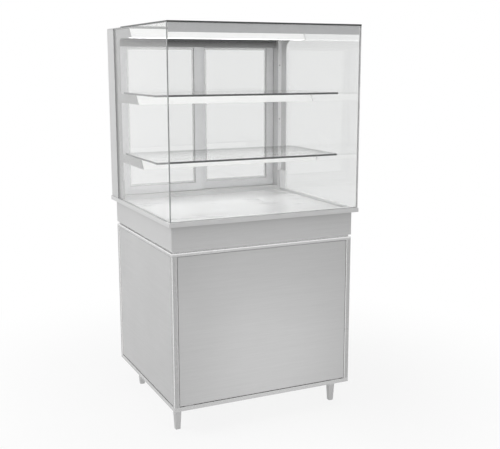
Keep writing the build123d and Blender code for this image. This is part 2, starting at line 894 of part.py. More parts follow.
# Condenser fan, with its motor on the compressor's side
condenser_fan_centre = (unit_x, shroud_y - motor_gap - condenser_hub_length / 2, condenser_fan_z)
condenser_fan = axial_fan(
    condenser_fan_centre,
    condenser_hub_radius,
    condenser_hub_length,
    condenser_fan_radius,
    condenser_shaft_radius,
)
save(condenser_fan, "condenser_fan")

with BuildPart() as condenser_fan_motor:
    add_motor(
        condenser_fan_centre,
        -1,
        condenser_hub_length,
        condenser_motor_radius,
        condenser_motor_length,
        condenser_shaft_radius,
        shroud_hole + 2.5 * motor_arm,
        shroud_y,
    )
save(condenser_fan_motor, "condenser_fan_motor")

# Refrigerant lines: bent tubes between compressor, condenser, drier and evaporator
evaporator_end = evaporator_width / 2 + tube_stub
condenser_end = condenser_width / 2 + tube_stub
stub_end = compressor_radius + tube_stub
suction_x = line_hole_x - line_spacing / 2
liquid_x = line_hole_x + line_spacing / 2
loop_x = unit_x - condenser_end - 1.5 * tube_bend
drier_bottom = condenser_fan_z + drier_rise
condenser_top_z = condenser_fan_z + condenser_height / 2 * (1 - 1 / condenser_rows)
condenser_low_z = condenser_fan_z - condenser_height / 2 * (1 - 1 / condenser_rows)
condenser_inlet_y = condenser_y - condenser_depth / 4
condenser_outlet_y = condenser_y + condenser_depth / 4
liquid_in_y = evaporator_y + evaporator_depth / 3
liquid_in_z = evaporator_z - evaporator_height / 3
with BuildPart() as refrigerant_lines:
    for tube_size, route in (
        (
            suction_tube,
            (
                (evaporator_end, evaporator_y, evaporator_z),
                (suction_x, evaporator_y, evaporator_z),
                (suction_x, evaporator_y, suction_z),
                (suction_x, compressor_y, suction_z),
                (unit_x + stub_end, compressor_y, suction_z),
            ),
        ),
        (
            discharge_tube,
            (
                (unit_x - stub_end, compressor_y, discharge_z),
                (loop_x, compressor_y, discharge_z),
                (loop_x, condenser_inlet_y, discharge_z),
                (loop_x, condenser_inlet_y, condenser_top_z),
                (unit_x - condenser_end, condenser_inlet_y, condenser_top_z),
            ),
        ),
        (
            liquid_tube,
            (
                (unit_x + condenser_end, condenser_outlet_y, condenser_low_z),
                (liquid_x, condenser_outlet_y, condenser_low_z),
                (liquid_x, line_hole_y, condenser_low_z),
                (liquid_x, line_hole_y, drier_bottom),
            ),
        ),
        (
            liquid_tube,
            (
                (liquid_x, line_hole_y, drier_bottom + drier_length),
                (liquid_x, line_hole_y, liquid_in_z),
                (liquid_x, liquid_in_y, liquid_in_z),
                (evaporator_end, liquid_in_y, liquid_in_z),
            ),
        ),
    ):
        with BuildLine():
            FilletPolyline(*route, radius=tube_bend)
        with BuildSketch(Plane(origin=route[0], z_dir=Vector(*route[1]) - Vector(*route[0]))):
            Circle(tube_size / 2)
        sweep()
    with BuildSketch(Plane.XY.offset(drier_bottom)):
        with Locations((liquid_x, line_hole_y)):
            Circle(drier_radius)
    extrude(amount=drier_length)
save(refrigerant_lines, "refrigerant_lines")

# Control fascia: plate on the apron's rear face with cut-outs for the controller and two switches
controller_x = fascia_x - fascia_width / 2 + controller_inset
switch_first_x = fascia_x + fascia_width / 2 - switch_inset - switch_pitch
fascia_face = body_half_depth + fascia_sheet
switch_places = (switch_first_x, switch_first_x + switch_pitch)
with BuildPart() as control_fascia:
    with BuildSketch(Plane.XZ.offset(-fascia_face)):
        with Locations((fascia_x, fascia_z)):
            RectangleRounded(fascia_width, fascia_height, 2 * fold_radius)
    extrude(amount=fascia_sheet)
    for cut_x, cut_width, cut_height in (
        (controller_x, controller_width, controller_height),
        (switch_places[0], switch_width, switch_height),
        (switch_places[1], switch_width, switch_height),
    ):
        block(
            (cut_x - cut_width / 2 - seat_gap, cut_x + cut_width / 2 + seat_gap),
            (body_half_depth, fascia_face),
            (fascia_z - cut_height / 2 - seat_gap, fascia_z + cut_height / 2 + seat_gap),
            mode=Mode.SUBTRACT,
        )
save(control_fascia, "control_fascia")

# Controller: box through the fascia with a bezel, a display recess and pockets for three buttons
bezel_face = fascia_face + bezel_depth
first_button = controller_x - bezel_width / 2 + button_inset
button_places = tuple(first_button + index * button_pitch for index in range(3))
button_face = bezel_face + button_proud
pocket_floor = button_face - button_depth - button_travel - running_gap
with BuildPart() as controller:
    block(
        (controller_x - controller_width / 2, controller_x + controller_width / 2),
        (fascia_face - controller_depth, fascia_face),
        (fascia_z - controller_height / 2, fascia_z + controller_height / 2),
    )
    with BuildSketch(Plane.XZ.offset(-bezel_face)):
        with Locations((controller_x, fascia_z)):
            RectangleRounded(bezel_width, bezel_height, fold_radius)
    extrude(amount=bezel_depth)
    block(
        (button_places[2] + button_width, controller_x + bezel_width / 2 - display_margin),
        (bezel_face - display_depth, bezel_face),
        (fascia_z - display_height / 2, fascia_z + display_height / 2),
        mode=Mode.SUBTRACT,
    )
    for button_x in button_places:
        block(
            (button_x - button_width / 2 - running_gap, button_x + button_width / 2 + running_gap),
            (pocket_floor, bezel_face),
            (fascia_z - button_height / 2 - running_gap, fascia_z + button_height / 2 + running_gap),
            mode=Mode.SUBTRACT,
        )
save(controller, "controller")

# Buttons: three caps that stand proud of the bezel
for button_x, button_name in zip(button_places, ("down_button", "up_button", "set_button")):
    with BuildPart() as button:
        block(
            (button_x - button_width / 2, button_x + button_width / 2),
            (button_face - button_depth, button_face),
            (fascia_z - button_height / 2, fascia_z + button_height / 2),
        )
        chamfer(button.faces().sort_by(Axis.Y)[-1].edges(), 0.4)
    save(button, button_name)

# Switch housings: two open boxes through the fascia, each with a bezel and pin holes for its rocker
rocker_y = fascia_face - switch_pivot_depth
switch_cavity_x = switch_width / 2 - switch_wall
switch_cavity_z = switch_height / 2 - switch_wall
with BuildPart() as switch_housings:
    for switch_x in switch_places:
        block(
            (switch_x - switch_width / 2, switch_x + switch_width / 2),
            (fascia_face - switch_depth, fascia_face),
            (fascia_z - switch_height / 2, fascia_z + switch_height / 2),
        )
        block(
            (switch_x - switch_width / 2 - switch_bezel, switch_x + switch_width / 2 + switch_bezel),
            (fascia_face, fascia_face + switch_bezel),
            (fascia_z - switch_height / 2 - switch_bezel, fascia_z + switch_height / 2 + switch_bezel),
        )
        block(
            (switch_x - switch_cavity_x, switch_x + switch_cavity_x),
            (fascia_face - switch_depth + switch_wall, fascia_face + switch_bezel),
            (fascia_z - switch_cavity_z, fascia_z + switch_cavity_z),
            mode=Mode.SUBTRACT,
        )
        with BuildSketch(Plane.YZ.offset(switch_x - switch_cavity_x - rocker_pin_length - running_gap)):
            with Locations((rocker_y, fascia_z)):
                Circle(rocker_pin + shaft_clearance)
        extrude(amount=2 * (switch_cavity_x + rocker_pin_length + running_gap), mode=Mode.SUBTRACT)
save(switch_housings, "switch_housings")

# Rockers: dished caps on two pins, shown tipped to their off side
rocker_half = switch_cavity_z - rocker_end_gap
tilt = math.radians(rocker_throw / 2)
for switch_x, rocker_name in zip(switch_places, ("light_switch_rocker", "main_switch_rocker")):
    rocker_plane = Plane(
        origin=(switch_x, rocker_y, fascia_z),
        x_dir=(0, math.cos(tilt), -math.sin(tilt)),
        z_dir=(1, 0, 0),
    )
    with BuildPart() as rocker:
        with BuildSketch(rocker_plane.offset(running_gap - switch_cavity_x)):
            with BuildLine():
                Polyline(
                    (-rocker_back, -0.65 * rocker_half),
                    (rocker_shoulder, -rocker_half),
                    (rocker_front, -0.95 * rocker_half),
                    (rocker_shoulder, 0),
                    (rocker_front, 0.95 * rocker_half),
                    (rocker_shoulder, rocker_half),
                    (-rocker_back, 0.65 * rocker_half),
                    close=True,
                )
            make_face()
        extrude(amount=2 * (switch_cavity_x - running_gap))
        with BuildSketch(rocker_plane.offset(-switch_cavity_x - rocker_pin_length)):
            Circle(rocker_pin)
        extrude(amount=2 * (switch_cavity_x + rocker_pin_length))
    save(rocker, rocker_name)

# Glass case: upright front pane, two side panes behind it and a top pane over all three
with BuildPart() as front_glass:
    block(
        both_ways(case_half_width),
        (case_front, case_front + glass_sheet),
        (worktop_height, wall_top),
    )
save(front_glass, "front_glass")

for side, pane_name in ((-1, "left_side_glass"), (1, "right_side_glass")):
    with BuildPart() as side_glass:
        block(
            sorted((side * glass_inner, side * case_half_width)),
            (case_front + glass_sheet, jamb_front - joint),
            (worktop_height, wall_top),
        )
    save(side_glass, pane_name)

cover_front = case_rear - cover_depth
with BuildPart() as top_glass:
    block(both_ways(case_half_width), (case_front, cover_front - joint), (wall_top, case_top))
save(top_glass, "top_glass")

# Top front profile: angle behind the front pane's upper edge and under the top pane
profile_back = case_front + glass_sheet
profile_half = glass_inner - top_profile_end_gap / 4
with BuildPart() as top_front_profile:
    block(
        both_ways(profile_half),
        (profile_back, profile_back + top_profile_sheet),
        (wall_top - top_profile_height, wall_top),
    )
    block(
        both_ways(profile_half),
        (profile_back, profile_back + top_profile_depth),
        (wall_top - top_profile_sheet, wall_top),
    )
save(top_front_profile, "top_front_profile")

# Rear doorway: two box-section jambs, a grooved header, a sill with two tracks and the rear cover above
with BuildPart() as door_jambs:
    for side in (-1, 1):
        block(
            sorted((side * jamb_inner, side * case_half_width)),
            (jamb_front, case_rear),
            (worktop_height, wall_top),
        )
        block(
            sorted((side * (jamb_inner + jamb_wall), side * (case_half_width - jamb_wall))),
            (jamb_front + jamb_wall, case_rear - jamb_wall),
            (worktop_height, wall_top),
            mode=Mode.SUBTRACT,
        )
save(door_jambs, "door_jambs")

inner_door_front = jamb_front + door_front_inset
outer_door_front = inner_door_front + door_thickness + door_gap
inner_track = inner_door_front + door_thickness / 2
outer_track = outer_door_front + door_thickness / 2
with BuildPart() as door_header:
    block(both_ways(jamb_inner), (jamb_front, case_rear), (header_bottom, wall_top))
    block(
        both_ways(jamb_inner),
        (jamb_front + jamb_wall, case_rear - jamb_wall),
        (header_bottom + guide_groove_depth + jamb_wall, wall_top - jamb_wall),
        mode=Mode.SUBTRACT,
    )
    for track in (inner_track, outer_track):
        block(
            both_ways(jamb_inner),
            (track - guide_groove / 2, track + guide_groove / 2),
            (header_bottom, header_bottom + guide_groove_depth),
            mode=Mode.SUBTRACT,
        )
save(door_header, "door_header")

with BuildPart() as door_sill:
    block(both_ways(jamb_inner), (jamb_front, case_rear), (worktop_height, sill_top))
    for track in (inner_track, outer_track):
        block(
            both_ways(jamb_inner),
            (track - track_width / 2, track + track_width / 2),
            (track_floor, sill_top),
            mode=Mode.SUBTRACT,
        )
save(door_sill, "door_sill")

with BuildPart() as top_cover:
    block(both_ways(case_half_width), (cover_front, case_rear), (wall_top, wall_top + cover_sheet))
save(top_cover, "top_cover")

# Brackets: sheet uprights at the rear of the side panes with three arms each, a front flange and a foot
arms = (
    (upright_front - top_arm_length, top_arm_z),
    (upright_front - upper_arm_length, upper_shelf_z),
    (upright_front - lower_arm_length, lower_shelf_z),
)
bracket_inner = glass_inner - bracket_sheet
bracket_outline = [(jamb_front, worktop_height), (jamb_front, top_arm_z)]
for tip_y, arm_top in arms:
    bracket_outline += [
        (upright_front, arm_top),
        (tip_y + arm_slant, arm_top),
        (tip_y, arm_top - arm_height),
        (upright_front, arm_top - arm_height),
    ]
bracket_outline += [(upright_front, worktop_height)]
for side, bracket_name in ((-1, "left_bracket"), (1, "right_bracket")):
    with BuildPart() as bracket:
        with BuildSketch(Plane.YZ.offset(side * glass_inner)) as bracket_face:
            with BuildLine():
                Polyline(*bracket_outline, close=True)
            make_face()
            roots = bracket_face.vertices().filter_by_position(Axis.X, upright_front - 1, upright_front + 1)
            fillet(
                roots.filter_by_position(Axis.Y, top_arm_z - arm_height - 1, top_arm_z - arm_height + 1),
                arm_root_radius,
            )
            roots = bracket_face.vertices().filter_by_position(Axis.X, upright_front - 1, upright_front + 1)
            fillet(
                roots.filter_by_position(Axis.Y, worktop_height + foot_height, upper_shelf_z + 1),
                small_root_radius,
            )
        extrude(amount=-side * bracket_sheet)
        block(
            sorted((side * jamb_inner, side * bracket_inner)),
            (jamb_front - flange_sheet, jamb_front),
            (worktop_height + foot_height, top_arm_z),
        )
        block(
            sorted((side * (glass_inner - foot_width), side * glass_inner)),
            (upright_front - foot_step, jamb_front),
            (worktop_height, worktop_height + foot_height),
        )
    save(bracket, bracket_name)

# Shelves: two thick glass plates on the lower two pairs of arms
shelf_rear_y = upright_front - shelf_rear_gap
for shelf_name, shelf_z in (("upper_shelf", upper_shelf_z), ("lower_shelf", lower_shelf_z)):
    with BuildPart() as shelf:
        with BuildSketch(Plane.XY.offset(shelf_z)):
            with Locations((0, shelf_rear_y - shelf_depth / 2)):
                RectangleRounded(2 * glass_inner - hole_clearance, shelf_depth, shelf_corner)
        extrude(amount=shelf_glass)
    save(shelf, shelf_name)

# Lamps: three folded channels between the arm ends, open below, each closed by a diffuser strip
slope = arm_slant / arm_height
slant_wall = lamp_sheet * math.hypot(arm_slant, arm_height) / arm_height
with BuildPart() as lamp_housings:
    for tip_y, arm_top in arms:
        arm_bottom = arm_top - arm_height
        lamp_back = tip_y + arm_slant + lamp_top_depth
        with BuildSketch(Plane.YZ.offset(-bracket_inner)):
            with BuildLine():
                Polyline(
                    (tip_y, arm_bottom),
                    (tip_y + arm_slant, arm_top),
                    (lamp_back, arm_top),
                    (lamp_back, arm_bottom),
                    close=True,
                )
            make_face()
        extrude(amount=2 * bracket_inner)
        with BuildSketch(Plane.YZ.offset(lamp_sheet - bracket_inner)):
            with BuildLine():
                Polyline(
                    (tip_y + slant_wall, arm_bottom),
                    (tip_y + slant_wall + slope * (arm_height - lamp_sheet), arm_top - lamp_sheet),
                    (lamp_back - lamp_sheet, arm_top - lamp_sheet),
                    (lamp_back - lamp_sheet, arm_bottom),
                    close=True,
                )
            make_face()
        extrude(amount=2 * (bracket_inner - lamp_sheet), mode=Mode.SUBTRACT)
save(lamp_housings, "lamp_housings")

with BuildPart() as lamp_diffusers:
    for tip_y, arm_top in arms:
        arm_bottom = arm_top - arm_height
        strip_front = tip_y + slant_wall + seat_gap
        strip_back = tip_y + arm_slant + lamp_top_depth - lamp_sheet - seat_gap
        with BuildSketch(Plane.YZ.offset(lamp_sheet + seat_gap - bracket_inner)):
            with BuildLine():
                Polyline(
                    (strip_front, arm_bottom),
                    (strip_front + slope * diffuser, arm_bottom + diffuser),
                    (strip_back, arm_bottom + diffuser),
                    (strip_back, arm_bottom),
                    close=True,
                )
            make_face()
        extrude(amount=2 * (bracket_inner - lamp_sheet - seat_gap))
save(lamp_diffusers, "lamp_diffusers")

# Sliding doors: grooved frames with a guide fin above, roller pockets below and a grip in the outer stile
door_bottom = sill_top + door_foot_gap
door_top = header_bottom - door_head_gap
roller_reach = roller_radius + roller_room
roller_z = track_floor + running_gap + roller_radius
grip_z = (door_bottom + door_top) / 2
groove_reach = door_stile - pane_groove
for side, door_side, door_front in ((-1, "left", inner_door_front), (1, "right", outer_door_front)):
    door_x = sorted((-side * door_overlap / 2, side * (jamb_inner - door_side_gap)))
    door_back = door_front + door_thickness
    track = door_front + door_thickness / 2
    roller_places = (door_x[0] + roller_inset, door_x[1] - roller_inset)
    with BuildPart() as door_frame:
        block(door_x, (door_front, door_back), (door_bottom, door_top))
        block(
            (door_x[0] + door_stile, door_x[1] - door_stile),
            (door_front, door_back),
            (door_bottom + door_stile, door_top - door_stile),
            mode=Mode.SUBTRACT,
        )
        block(
            (door_x[0] + groove_reach, door_x[1] - groove_reach),
            (track - pane / 2 - seat_gap, track + pane / 2 + seat_gap),
            (door_bottom + groove_reach, door_top - groove_reach),
            mode=Mode.SUBTRACT,
        )
        fin_y = (track - guide_fin / 2, track + guide_fin / 2)
        block(door_x, fin_y, (door_top, door_top + guide_fin_height))
        for roller_x in roller_places:
            block(
                (roller_x - roller_reach, roller_x + roller_reach),
                (track - track_width / 2, track + track_width / 2),
                (door_bottom, roller_z + roller_reach),
                mode=Mode.SUBTRACT,
            )
            with BuildSketch(Plane.XZ.offset(-track - track_width / 2 - sheet)):
                with Locations((roller_x, roller_z)):
                    Circle(roller_axle / 2)
            extrude(amount=track_width + 2 * sheet)
        with BuildSketch(Plane.XZ.offset(-door_back)):
            with Locations((side * (jamb_inner - door_side_gap - door_stile / 2 + hole_clearance), grip_z)):
                RectangleRounded(grip_width, grip_length, grip_width / 2 - seat_gap)
        extrude(amount=grip_depth, mode=Mode.SUBTRACT)
    save(door_frame, f"{door_side}_door_frame")
    with BuildPart() as door_glass:
        block(
            (door_x[0] + groove_reach + seat_gap, door_x[1] - groove_reach - seat_gap),
            (track - pane / 2, track + pane / 2),
            (door_bottom + groove_reach + seat_gap, door_top - groove_reach - seat_gap),
        )
    save(door_glass, f"{door_side}_door_glass")
    for roller_x, roller_side in zip(roller_places, ("left", "right")):
        with BuildPart() as roller:
            with BuildSketch(Plane.XZ.offset(-track - roller_width / 2)):
                with Locations((roller_x, roller_z)):
                    Circle(roller_radius)
                    Circle(roller_axle / 2 + shaft_clearance, mode=Mode.SUBTRACT)
            extrude(amount=roller_width)
        save(roller, f"{door_side}_door_roller_{roller_side}")
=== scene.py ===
import math

import bmesh
import bpy
from mathutils import Matrix, Vector


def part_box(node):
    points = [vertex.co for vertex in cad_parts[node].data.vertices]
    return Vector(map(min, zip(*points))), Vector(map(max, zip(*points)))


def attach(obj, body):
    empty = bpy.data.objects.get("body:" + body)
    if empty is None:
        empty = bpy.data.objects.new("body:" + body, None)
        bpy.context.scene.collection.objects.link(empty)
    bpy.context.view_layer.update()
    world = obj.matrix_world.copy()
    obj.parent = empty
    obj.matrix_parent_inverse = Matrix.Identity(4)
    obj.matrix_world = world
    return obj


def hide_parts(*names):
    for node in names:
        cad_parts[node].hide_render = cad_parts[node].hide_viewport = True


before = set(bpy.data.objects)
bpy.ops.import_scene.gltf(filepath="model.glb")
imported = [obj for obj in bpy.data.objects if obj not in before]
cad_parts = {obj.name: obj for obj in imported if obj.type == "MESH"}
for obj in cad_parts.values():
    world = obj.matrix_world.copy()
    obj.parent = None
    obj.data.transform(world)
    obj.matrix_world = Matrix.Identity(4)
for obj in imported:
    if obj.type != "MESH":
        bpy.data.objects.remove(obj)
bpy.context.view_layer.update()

# Camera: stands to the left of the case's front at about eye height and looks a little down.
# Its place, turn and lens were fitted to the outline of the real case.
camera_place = (-1.5068, -3.4387, 1.5030)
camera_turn = -25.0951
camera_dip = 10.7113
camera_roll = -0.0703
camera_lens = 60.82
camera_sensor = 36.0

camera_data = bpy.data.cameras.new("camera")
camera_data.lens = camera_lens
camera_data.sensor_width = camera_sensor
camera = bpy.data.objects.new("camera", camera_data)
bpy.context.scene.collection.objects.link(camera)
camera.matrix_world = (
    Matrix.Translation(camera_place)
    @ Matrix.Rotation(math.radians(camera_turn), 4, "Z")
    @ Matrix.Rotation(math.radians(90 - camera_dip), 4, "X")
    @ Matrix.Rotation(math.radians(camera_roll), 4, "Z")
)
bpy.context.scene.camera = camera
bpy.context.scene.view_settings.view_transform = "Standard"

# Studio: a pale floor and a white surround, with soft lamps above, to the left and low in front.
# The floor keeps a faint shadow near the case and is plain white further out.
room_light = 0.25
shown_white = 1.0
floor_size = 60.0
floor_white = 0.9
floor_shadow_share = 0.14
floor_shadow_near = 0.5
floor_shadow_reach = 1.9


def feed(tree, value, place):
    """Give a socket its value, which is a number, a colour or another socket."""
    if isinstance(value, (float, tuple)):
        place.default_value = value
    else:
        tree.links.new(value, place)


def worked(tree, operation, *values):
    """The result of a sum, each value in it being a number or a socket."""
    step = tree.nodes.new("ShaderNodeMath")
    step.operation = operation
    for place, value in zip(step.inputs, values):
        feed(tree, value, place)
    return step.outputs[0]


def remap(tree, value, start, end, low, high, easing="LINEAR"):
    """A value that runs from low at a start to high at an end, and stays there beyond them."""
    slope = tree.nodes.new("ShaderNodeMapRange")
    slope.interpolation_type = easing
    for name, number in (("From Min", start), ("From Max", end), ("To Min", low), ("To Max", high)):
        slope.inputs[name].default_value = number
    tree.links.new(value, slope.inputs["Value"])
    return slope.outputs["Result"]


def show_mix(tree, output, share, first, second):
    """Show two shaders on an output, mixed by a share that is a number or a socket."""
    mix = tree.nodes.new("ShaderNodeMixShader")
    feed(tree, share, mix.inputs["Fac"])
    tree.links.new(first, mix.inputs[1])
    tree.links.new(second, mix.inputs[2])
    tree.links.new(mix.outputs[0], tree.nodes[output].inputs["Surface"])


def seen_directly(tree):
    """A socket that is 1 for what the camera sees, straight on or by gloss or through glass."""
    path = tree.nodes.new("ShaderNodeLightPath")
    either = worked(tree, "MAXIMUM", path.outputs["Is Camera Ray"], path.outputs["Is Glossy Ray"])
    return worked(tree, "MAXIMUM", either, path.outputs["Is Transmission Ray"])


world = bpy.data.worlds.new("studio")
bpy.context.scene.world = world
world.use_nodes = True
sky = world.node_tree
plain_light = sky.nodes["Background"]
white_ground = sky.nodes.new("ShaderNodeBackground")
for ground, strength in ((plain_light, room_light), (white_ground, shown_white)):
    ground.inputs["Color"].default_value = (1.0, 1.0, 1.0, 1.0)
    ground.inputs["Strength"].default_value = strength
show_mix(sky, "World Output", seen_directly(sky), plain_light.outputs[0], white_ground.outputs[0])

floor_paint = bpy.data.materials.new("studio_floor")
floor_paint.use_nodes = True
paint = floor_paint.node_tree
paint.nodes.remove(paint.nodes["Principled BSDF"])
matt = paint.nodes.new("ShaderNodeBsdfDiffuse")
matt.inputs["Color"].default_value = (floor_white, floor_white, floor_white, 1.0)
bright = paint.nodes.new("ShaderNodeEmission")
bright.inputs["Strength"].default_value = shown_white
floor_place = paint.nodes.new("ShaderNodeTexCoord")
distance = paint.nodes.new("ShaderNodeVectorMath")
distance.operation = "LENGTH"
paint.links.new(floor_place.outputs["Object"], distance.inputs[0])
whiteness = remap(
    paint, distance.outputs["Value"], floor_shadow_near, floor_shadow_reach,
    1.0 - floor_shadow_share, 1.0, "SMOOTHSTEP",
)
whiteness = worked(paint, "MULTIPLY", whiteness, seen_directly(paint))
show_mix(paint, "Material Output", whiteness, matt.outputs[0], bright.outputs[0])

floor_mesh = bpy.data.meshes.new("studio_floor")
sheet = bmesh.new()
bmesh.ops.create_grid(sheet, x_segments=1, y_segments=1, size=floor_size / 2)
sheet.to_mesh(floor_mesh)
sheet.free()
floor_mesh.materials.append(floor_paint)
studio_floor = bpy.data.objects.new("studio_floor", floor_mesh)
bpy.context.scene.collection.objects.link(studio_floor)


def softbox(name, place, aim, size, power, fan=180.0, mirrored=False):
    """A soft square lamp, turned towards a point and kept out of the picture."""
    data = bpy.data.lights.new(name, "AREA")
    data.size = size
    data.spread = math.radians(fan)
    data.energy = power
    lamp = bpy.data.objects.new(name, data)
    bpy.context.scene.collection.objects.link(lamp)
    turn = (Vector(aim) - Vector(place)).to_track_quat("-Z", "Y")
    lamp.matrix_world = Matrix.Translation(place) @ turn.to_matrix().to_4x4()
    lamp.visible_camera = False
    lamp.visible_glossy = mirrored


softbox("top_softbox", (0.2, -0.2, 3.8), (0.0, 0.0, 0.9), size=2.6, power=38.0)
softbox("left_softbox", (-2.4, 0.2, 2.3), (-0.4, 0.0, 0.7), size=1.4, power=29.5)
softbox("front_softbox", (-3.2, -1.7, 1.9), (-0.4, -0.3, 0.8), size=1.2, power=10.0, mirrored=True)
softbox("low_softbox", (0.12, -1.3, 0.24), (0.02, -0.4, 0.26), size=0.4, power=0.85, fan=80.0)


# Legs: four tapered feet pressed from stainless steel sheet with the grain running up them.
# They are welded under the base tray.
x_axis, y_axis, z_axis = 0, 1, 2


def grey(level):
    """A neutral colour."""
    return (level, level, level)


def start_material(name):
    """A new material with its node tree."""
    material = bpy.data.materials.new(name)
    material.use_nodes = True
    return material, material.node_tree


def noise(tree, waves, detail=2.0, stretch=(1.0, 1.0, 1.0)):
    """Noise on Object coordinates, in waves per metre, with a stretch for each axis."""
    place = tree.nodes.new("ShaderNodeTexCoord")
    mapping = tree.nodes.new("ShaderNodeMapping")
    mapping.inputs["Scale"].default_value = stretch
    texture = tree.nodes.new("ShaderNodeTexNoise")
    texture.inputs["Scale"].default_value = waves
    texture.inputs["Detail"].default_value = detail
    tree.links.new(place.outputs["Object"], mapping.inputs["Vector"])
    tree.links.new(mapping.outputs["Vector"], texture.inputs["Vector"])
    return texture.outputs["Fac"]


def drawn_out(axis, share):
    """A stretch that draws a pattern out along one axis."""
    stretch = [1.0, 1.0, 1.0]
    stretch[axis] = share
    return stretch


def spread(tree, value, low, high):
    """The middle of a noise value, spread from low to high."""
    middle_start, middle_end = 0.3, 0.7
    return remap(tree, value, middle_start, middle_end, low, high)


def times(tree, first, second):
    """The product of two values, each of them a socket."""
    return worked(tree, "MULTIPLY", first, second)


def shade(tree, value, colour):
    """A colour, given or from a socket, made lighter or darker by a value."""
    tint = tree.nodes.new("ShaderNodeVectorMath")
    tint.operation = "SCALE"
    feed(tree, colour, tint.inputs[0])
    tree.links.new(value, tint.inputs["Scale"])
    return tint.outputs["Vector"]


def dent(tree, height, strength, depth):
    """A bump normal from a height between 0 and 1, depth in metres."""
    bump = tree.nodes.new("ShaderNodeBump")
    bump.inputs["Strength"].default_value = strength
    bump.inputs["Distance"].default_value = depth
    tree.links.new(height, bump.inputs["Height"])
    return bump.outputs["Normal"]


def painted_nook_shade(tree, depth):
    """1 in the open and less in a nook: painted shade, darkening the colour where the surface is
    closed in.
    """
    reach, samples = 0.08, 6
    closed_in, in_the_open = 0.45, 0.95
    nook = tree.nodes.new("ShaderNodeAmbientOcclusion")
    nook.samples = samples
    nook.inputs["Distance"].default_value = reach
    return remap(tree, nook.outputs["AO"], closed_in, in_the_open, 1.0 - depth, 1.0)


def coat(tree, colour, roughness, normal, metallic=0.0):
    """Give a material its colour, roughness and bump sockets, and say how metallic it is."""
    surface = tree.nodes["Principled BSDF"]
    tree.links.new(colour, surface.inputs["Base Color"])
    tree.links.new(roughness, surface.inputs["Roughness"])
    tree.links.new(normal, surface.inputs["Normal"])
    surface.inputs["Metallic"].default_value = metallic


def brushed_metal(name, grain_axis, colour, metallic, roughness, nook_shade=0.0, grain_depth=0.1):
    """Sheet metal with grain lines along one axis, faint streaks, hand smears and painted shade in
    nooks.
    """
    grain_waves, streak_waves, smear_waves = 900.0, 110.0, 5.0
    material, tree = start_material(name)
    lines = noise(tree, grain_waves, 2.0, drawn_out(grain_axis, 0.012))
    streaks = noise(tree, streak_waves, 2.0, drawn_out(grain_axis, 0.02))
    smears = noise(tree, smear_waves, 3.0)
    tone = times(tree, spread(tree, lines, 0.97, 1.03), spread(tree, streaks, 0.985, 1.015))
    if nook_shade:
        tone = times(tree, tone, painted_nook_shade(tree, nook_shade))
    gloss = spread(tree, smears, roughness * 0.9, roughness * 1.1)
    gloss = times(tree, spread(tree, lines, 0.94, 1.06), gloss)
    coat(tree, shade(tree, tone, colour), gloss, dent(tree, lines, grain_depth, 0.0002), metallic)
    return material


def give_finish(material, *nodes):
    """Give CAD nodes their finish."""
    for node in nodes:
        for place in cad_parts[node].material_slots:
            place.material = material


steel = grey(0.60)
steel_metallic, steel_roughness = 0.45, 0.42
steel_up = brushed_metal("steel_grain_upright", z_axis, steel, steel_metallic, steel_roughness)
give_finish(steel_up, "legs")


# Base tray, corner posts and upper frame: the cabinet's welded skeleton, folded and rolled from
# stainless steel and ground smooth, so it is glossier than the panels. The posts' corners and the
# upper frame's top edge carry painted highlights, and the posts' darker grey is painted shade.
def set_piece(name, shell, body, slot, *materials, replaced=()):
    """Make a piece of a finished shell, where it lies, on its body. The slot is not used."""
    mesh = bpy.data.meshes.new(name)
    shell.to_mesh(mesh)
    shell.free()
    for material in materials:
        mesh.materials.append(material)
    piece = bpy.data.objects.new(name, mesh)
    bpy.context.scene.collection.objects.link(piece)
    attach(piece, body)
    if replaced:
        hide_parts(*replaced)


def round_edges(shell, edges, radius, segments=2):
    """Round over some edges of a shell, keeping its faces' materials."""
    bmesh.ops.bevel(
        shell, geom=list(edges), offset=radius, offset_type="OFFSET", affect="EDGES",
        segments=segments, profile=0.5, material=-1,
    )


def smooth_curves(shell, limit=35.0):
    """Shade rolled corners smoothly and leave flat sheet flat."""
    flat, widest_strip = 0.5, 0.004
    for face in shell.faces:
        bends = [e for e in face.edges if len(e.link_faces) == 2
                 and flat < math.degrees(e.calc_face_angle()) < limit]
        face.smooth = len(bends) > 0 and face.calc_area() < widest_strip
    for edge in shell.edges:
        edge.smooth = len(edge.link_faces) == 2 and math.degrees(edge.calc_face_angle()) < limit


def outer_creases(shell):
    """The edges at which a closed shell turns sharply outwards."""
    sharp = math.radians(60)
    return [e for e in shell.edges if len(e.link_faces) == 2 and e.calc_face_angle_signed() > sharp]


def folded_copy(node, material, edge_radius):
    """A copy of a CAD node of the cabinet with its outer edges rounded over, standing for it."""
    shell = bmesh.new()
    shell.from_mesh(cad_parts[node].data)
    bmesh.ops.remove_doubles(shell, verts=shell.verts, dist=0.00001)
    for face in shell.faces:
        face.material_index = 0
    round_edges(shell, outer_creases(shell), edge_radius)
    smooth_curves(shell)
    set_piece(node + "_folded", shell, "cabinet", "brushed_stainless", material, replaced=(node,))


def along(tree, axis, coordinates="Object"):
    """One of the object's own coordinates, in metres, or one share of its normal."""
    place = tree.nodes.new("ShaderNodeTexCoord")
    split = tree.nodes.new("ShaderNodeSeparateXYZ")
    tree.links.new(place.outputs[coordinates], split.inputs[0])
    return split.outputs[axis]


def facing(tree, axis):
    """The share of a surface's own direction that lies along one axis."""
    return along(tree, axis, "Normal")


def ramp(tree, value, start, end):
    """0 before a start, 1 past an end and even between them."""
    return remap(tree, value, start, end, 0.0, 1.0)


def two_tone(tree, mask, first, second):
    """One colour where the mask is 0 and another where it is 1."""
    mix = tree.nodes.new("ShaderNodeMix")
    mix.data_type = "RGBA"
    for place, colour in (("A", first), ("B", second)):
        feed(tree, (*colour, 1.0) if isinstance(colour, tuple) else colour, mix.inputs[place])
    tree.links.new(mask, mix.inputs["Factor"])
    return mix.outputs["Result"]


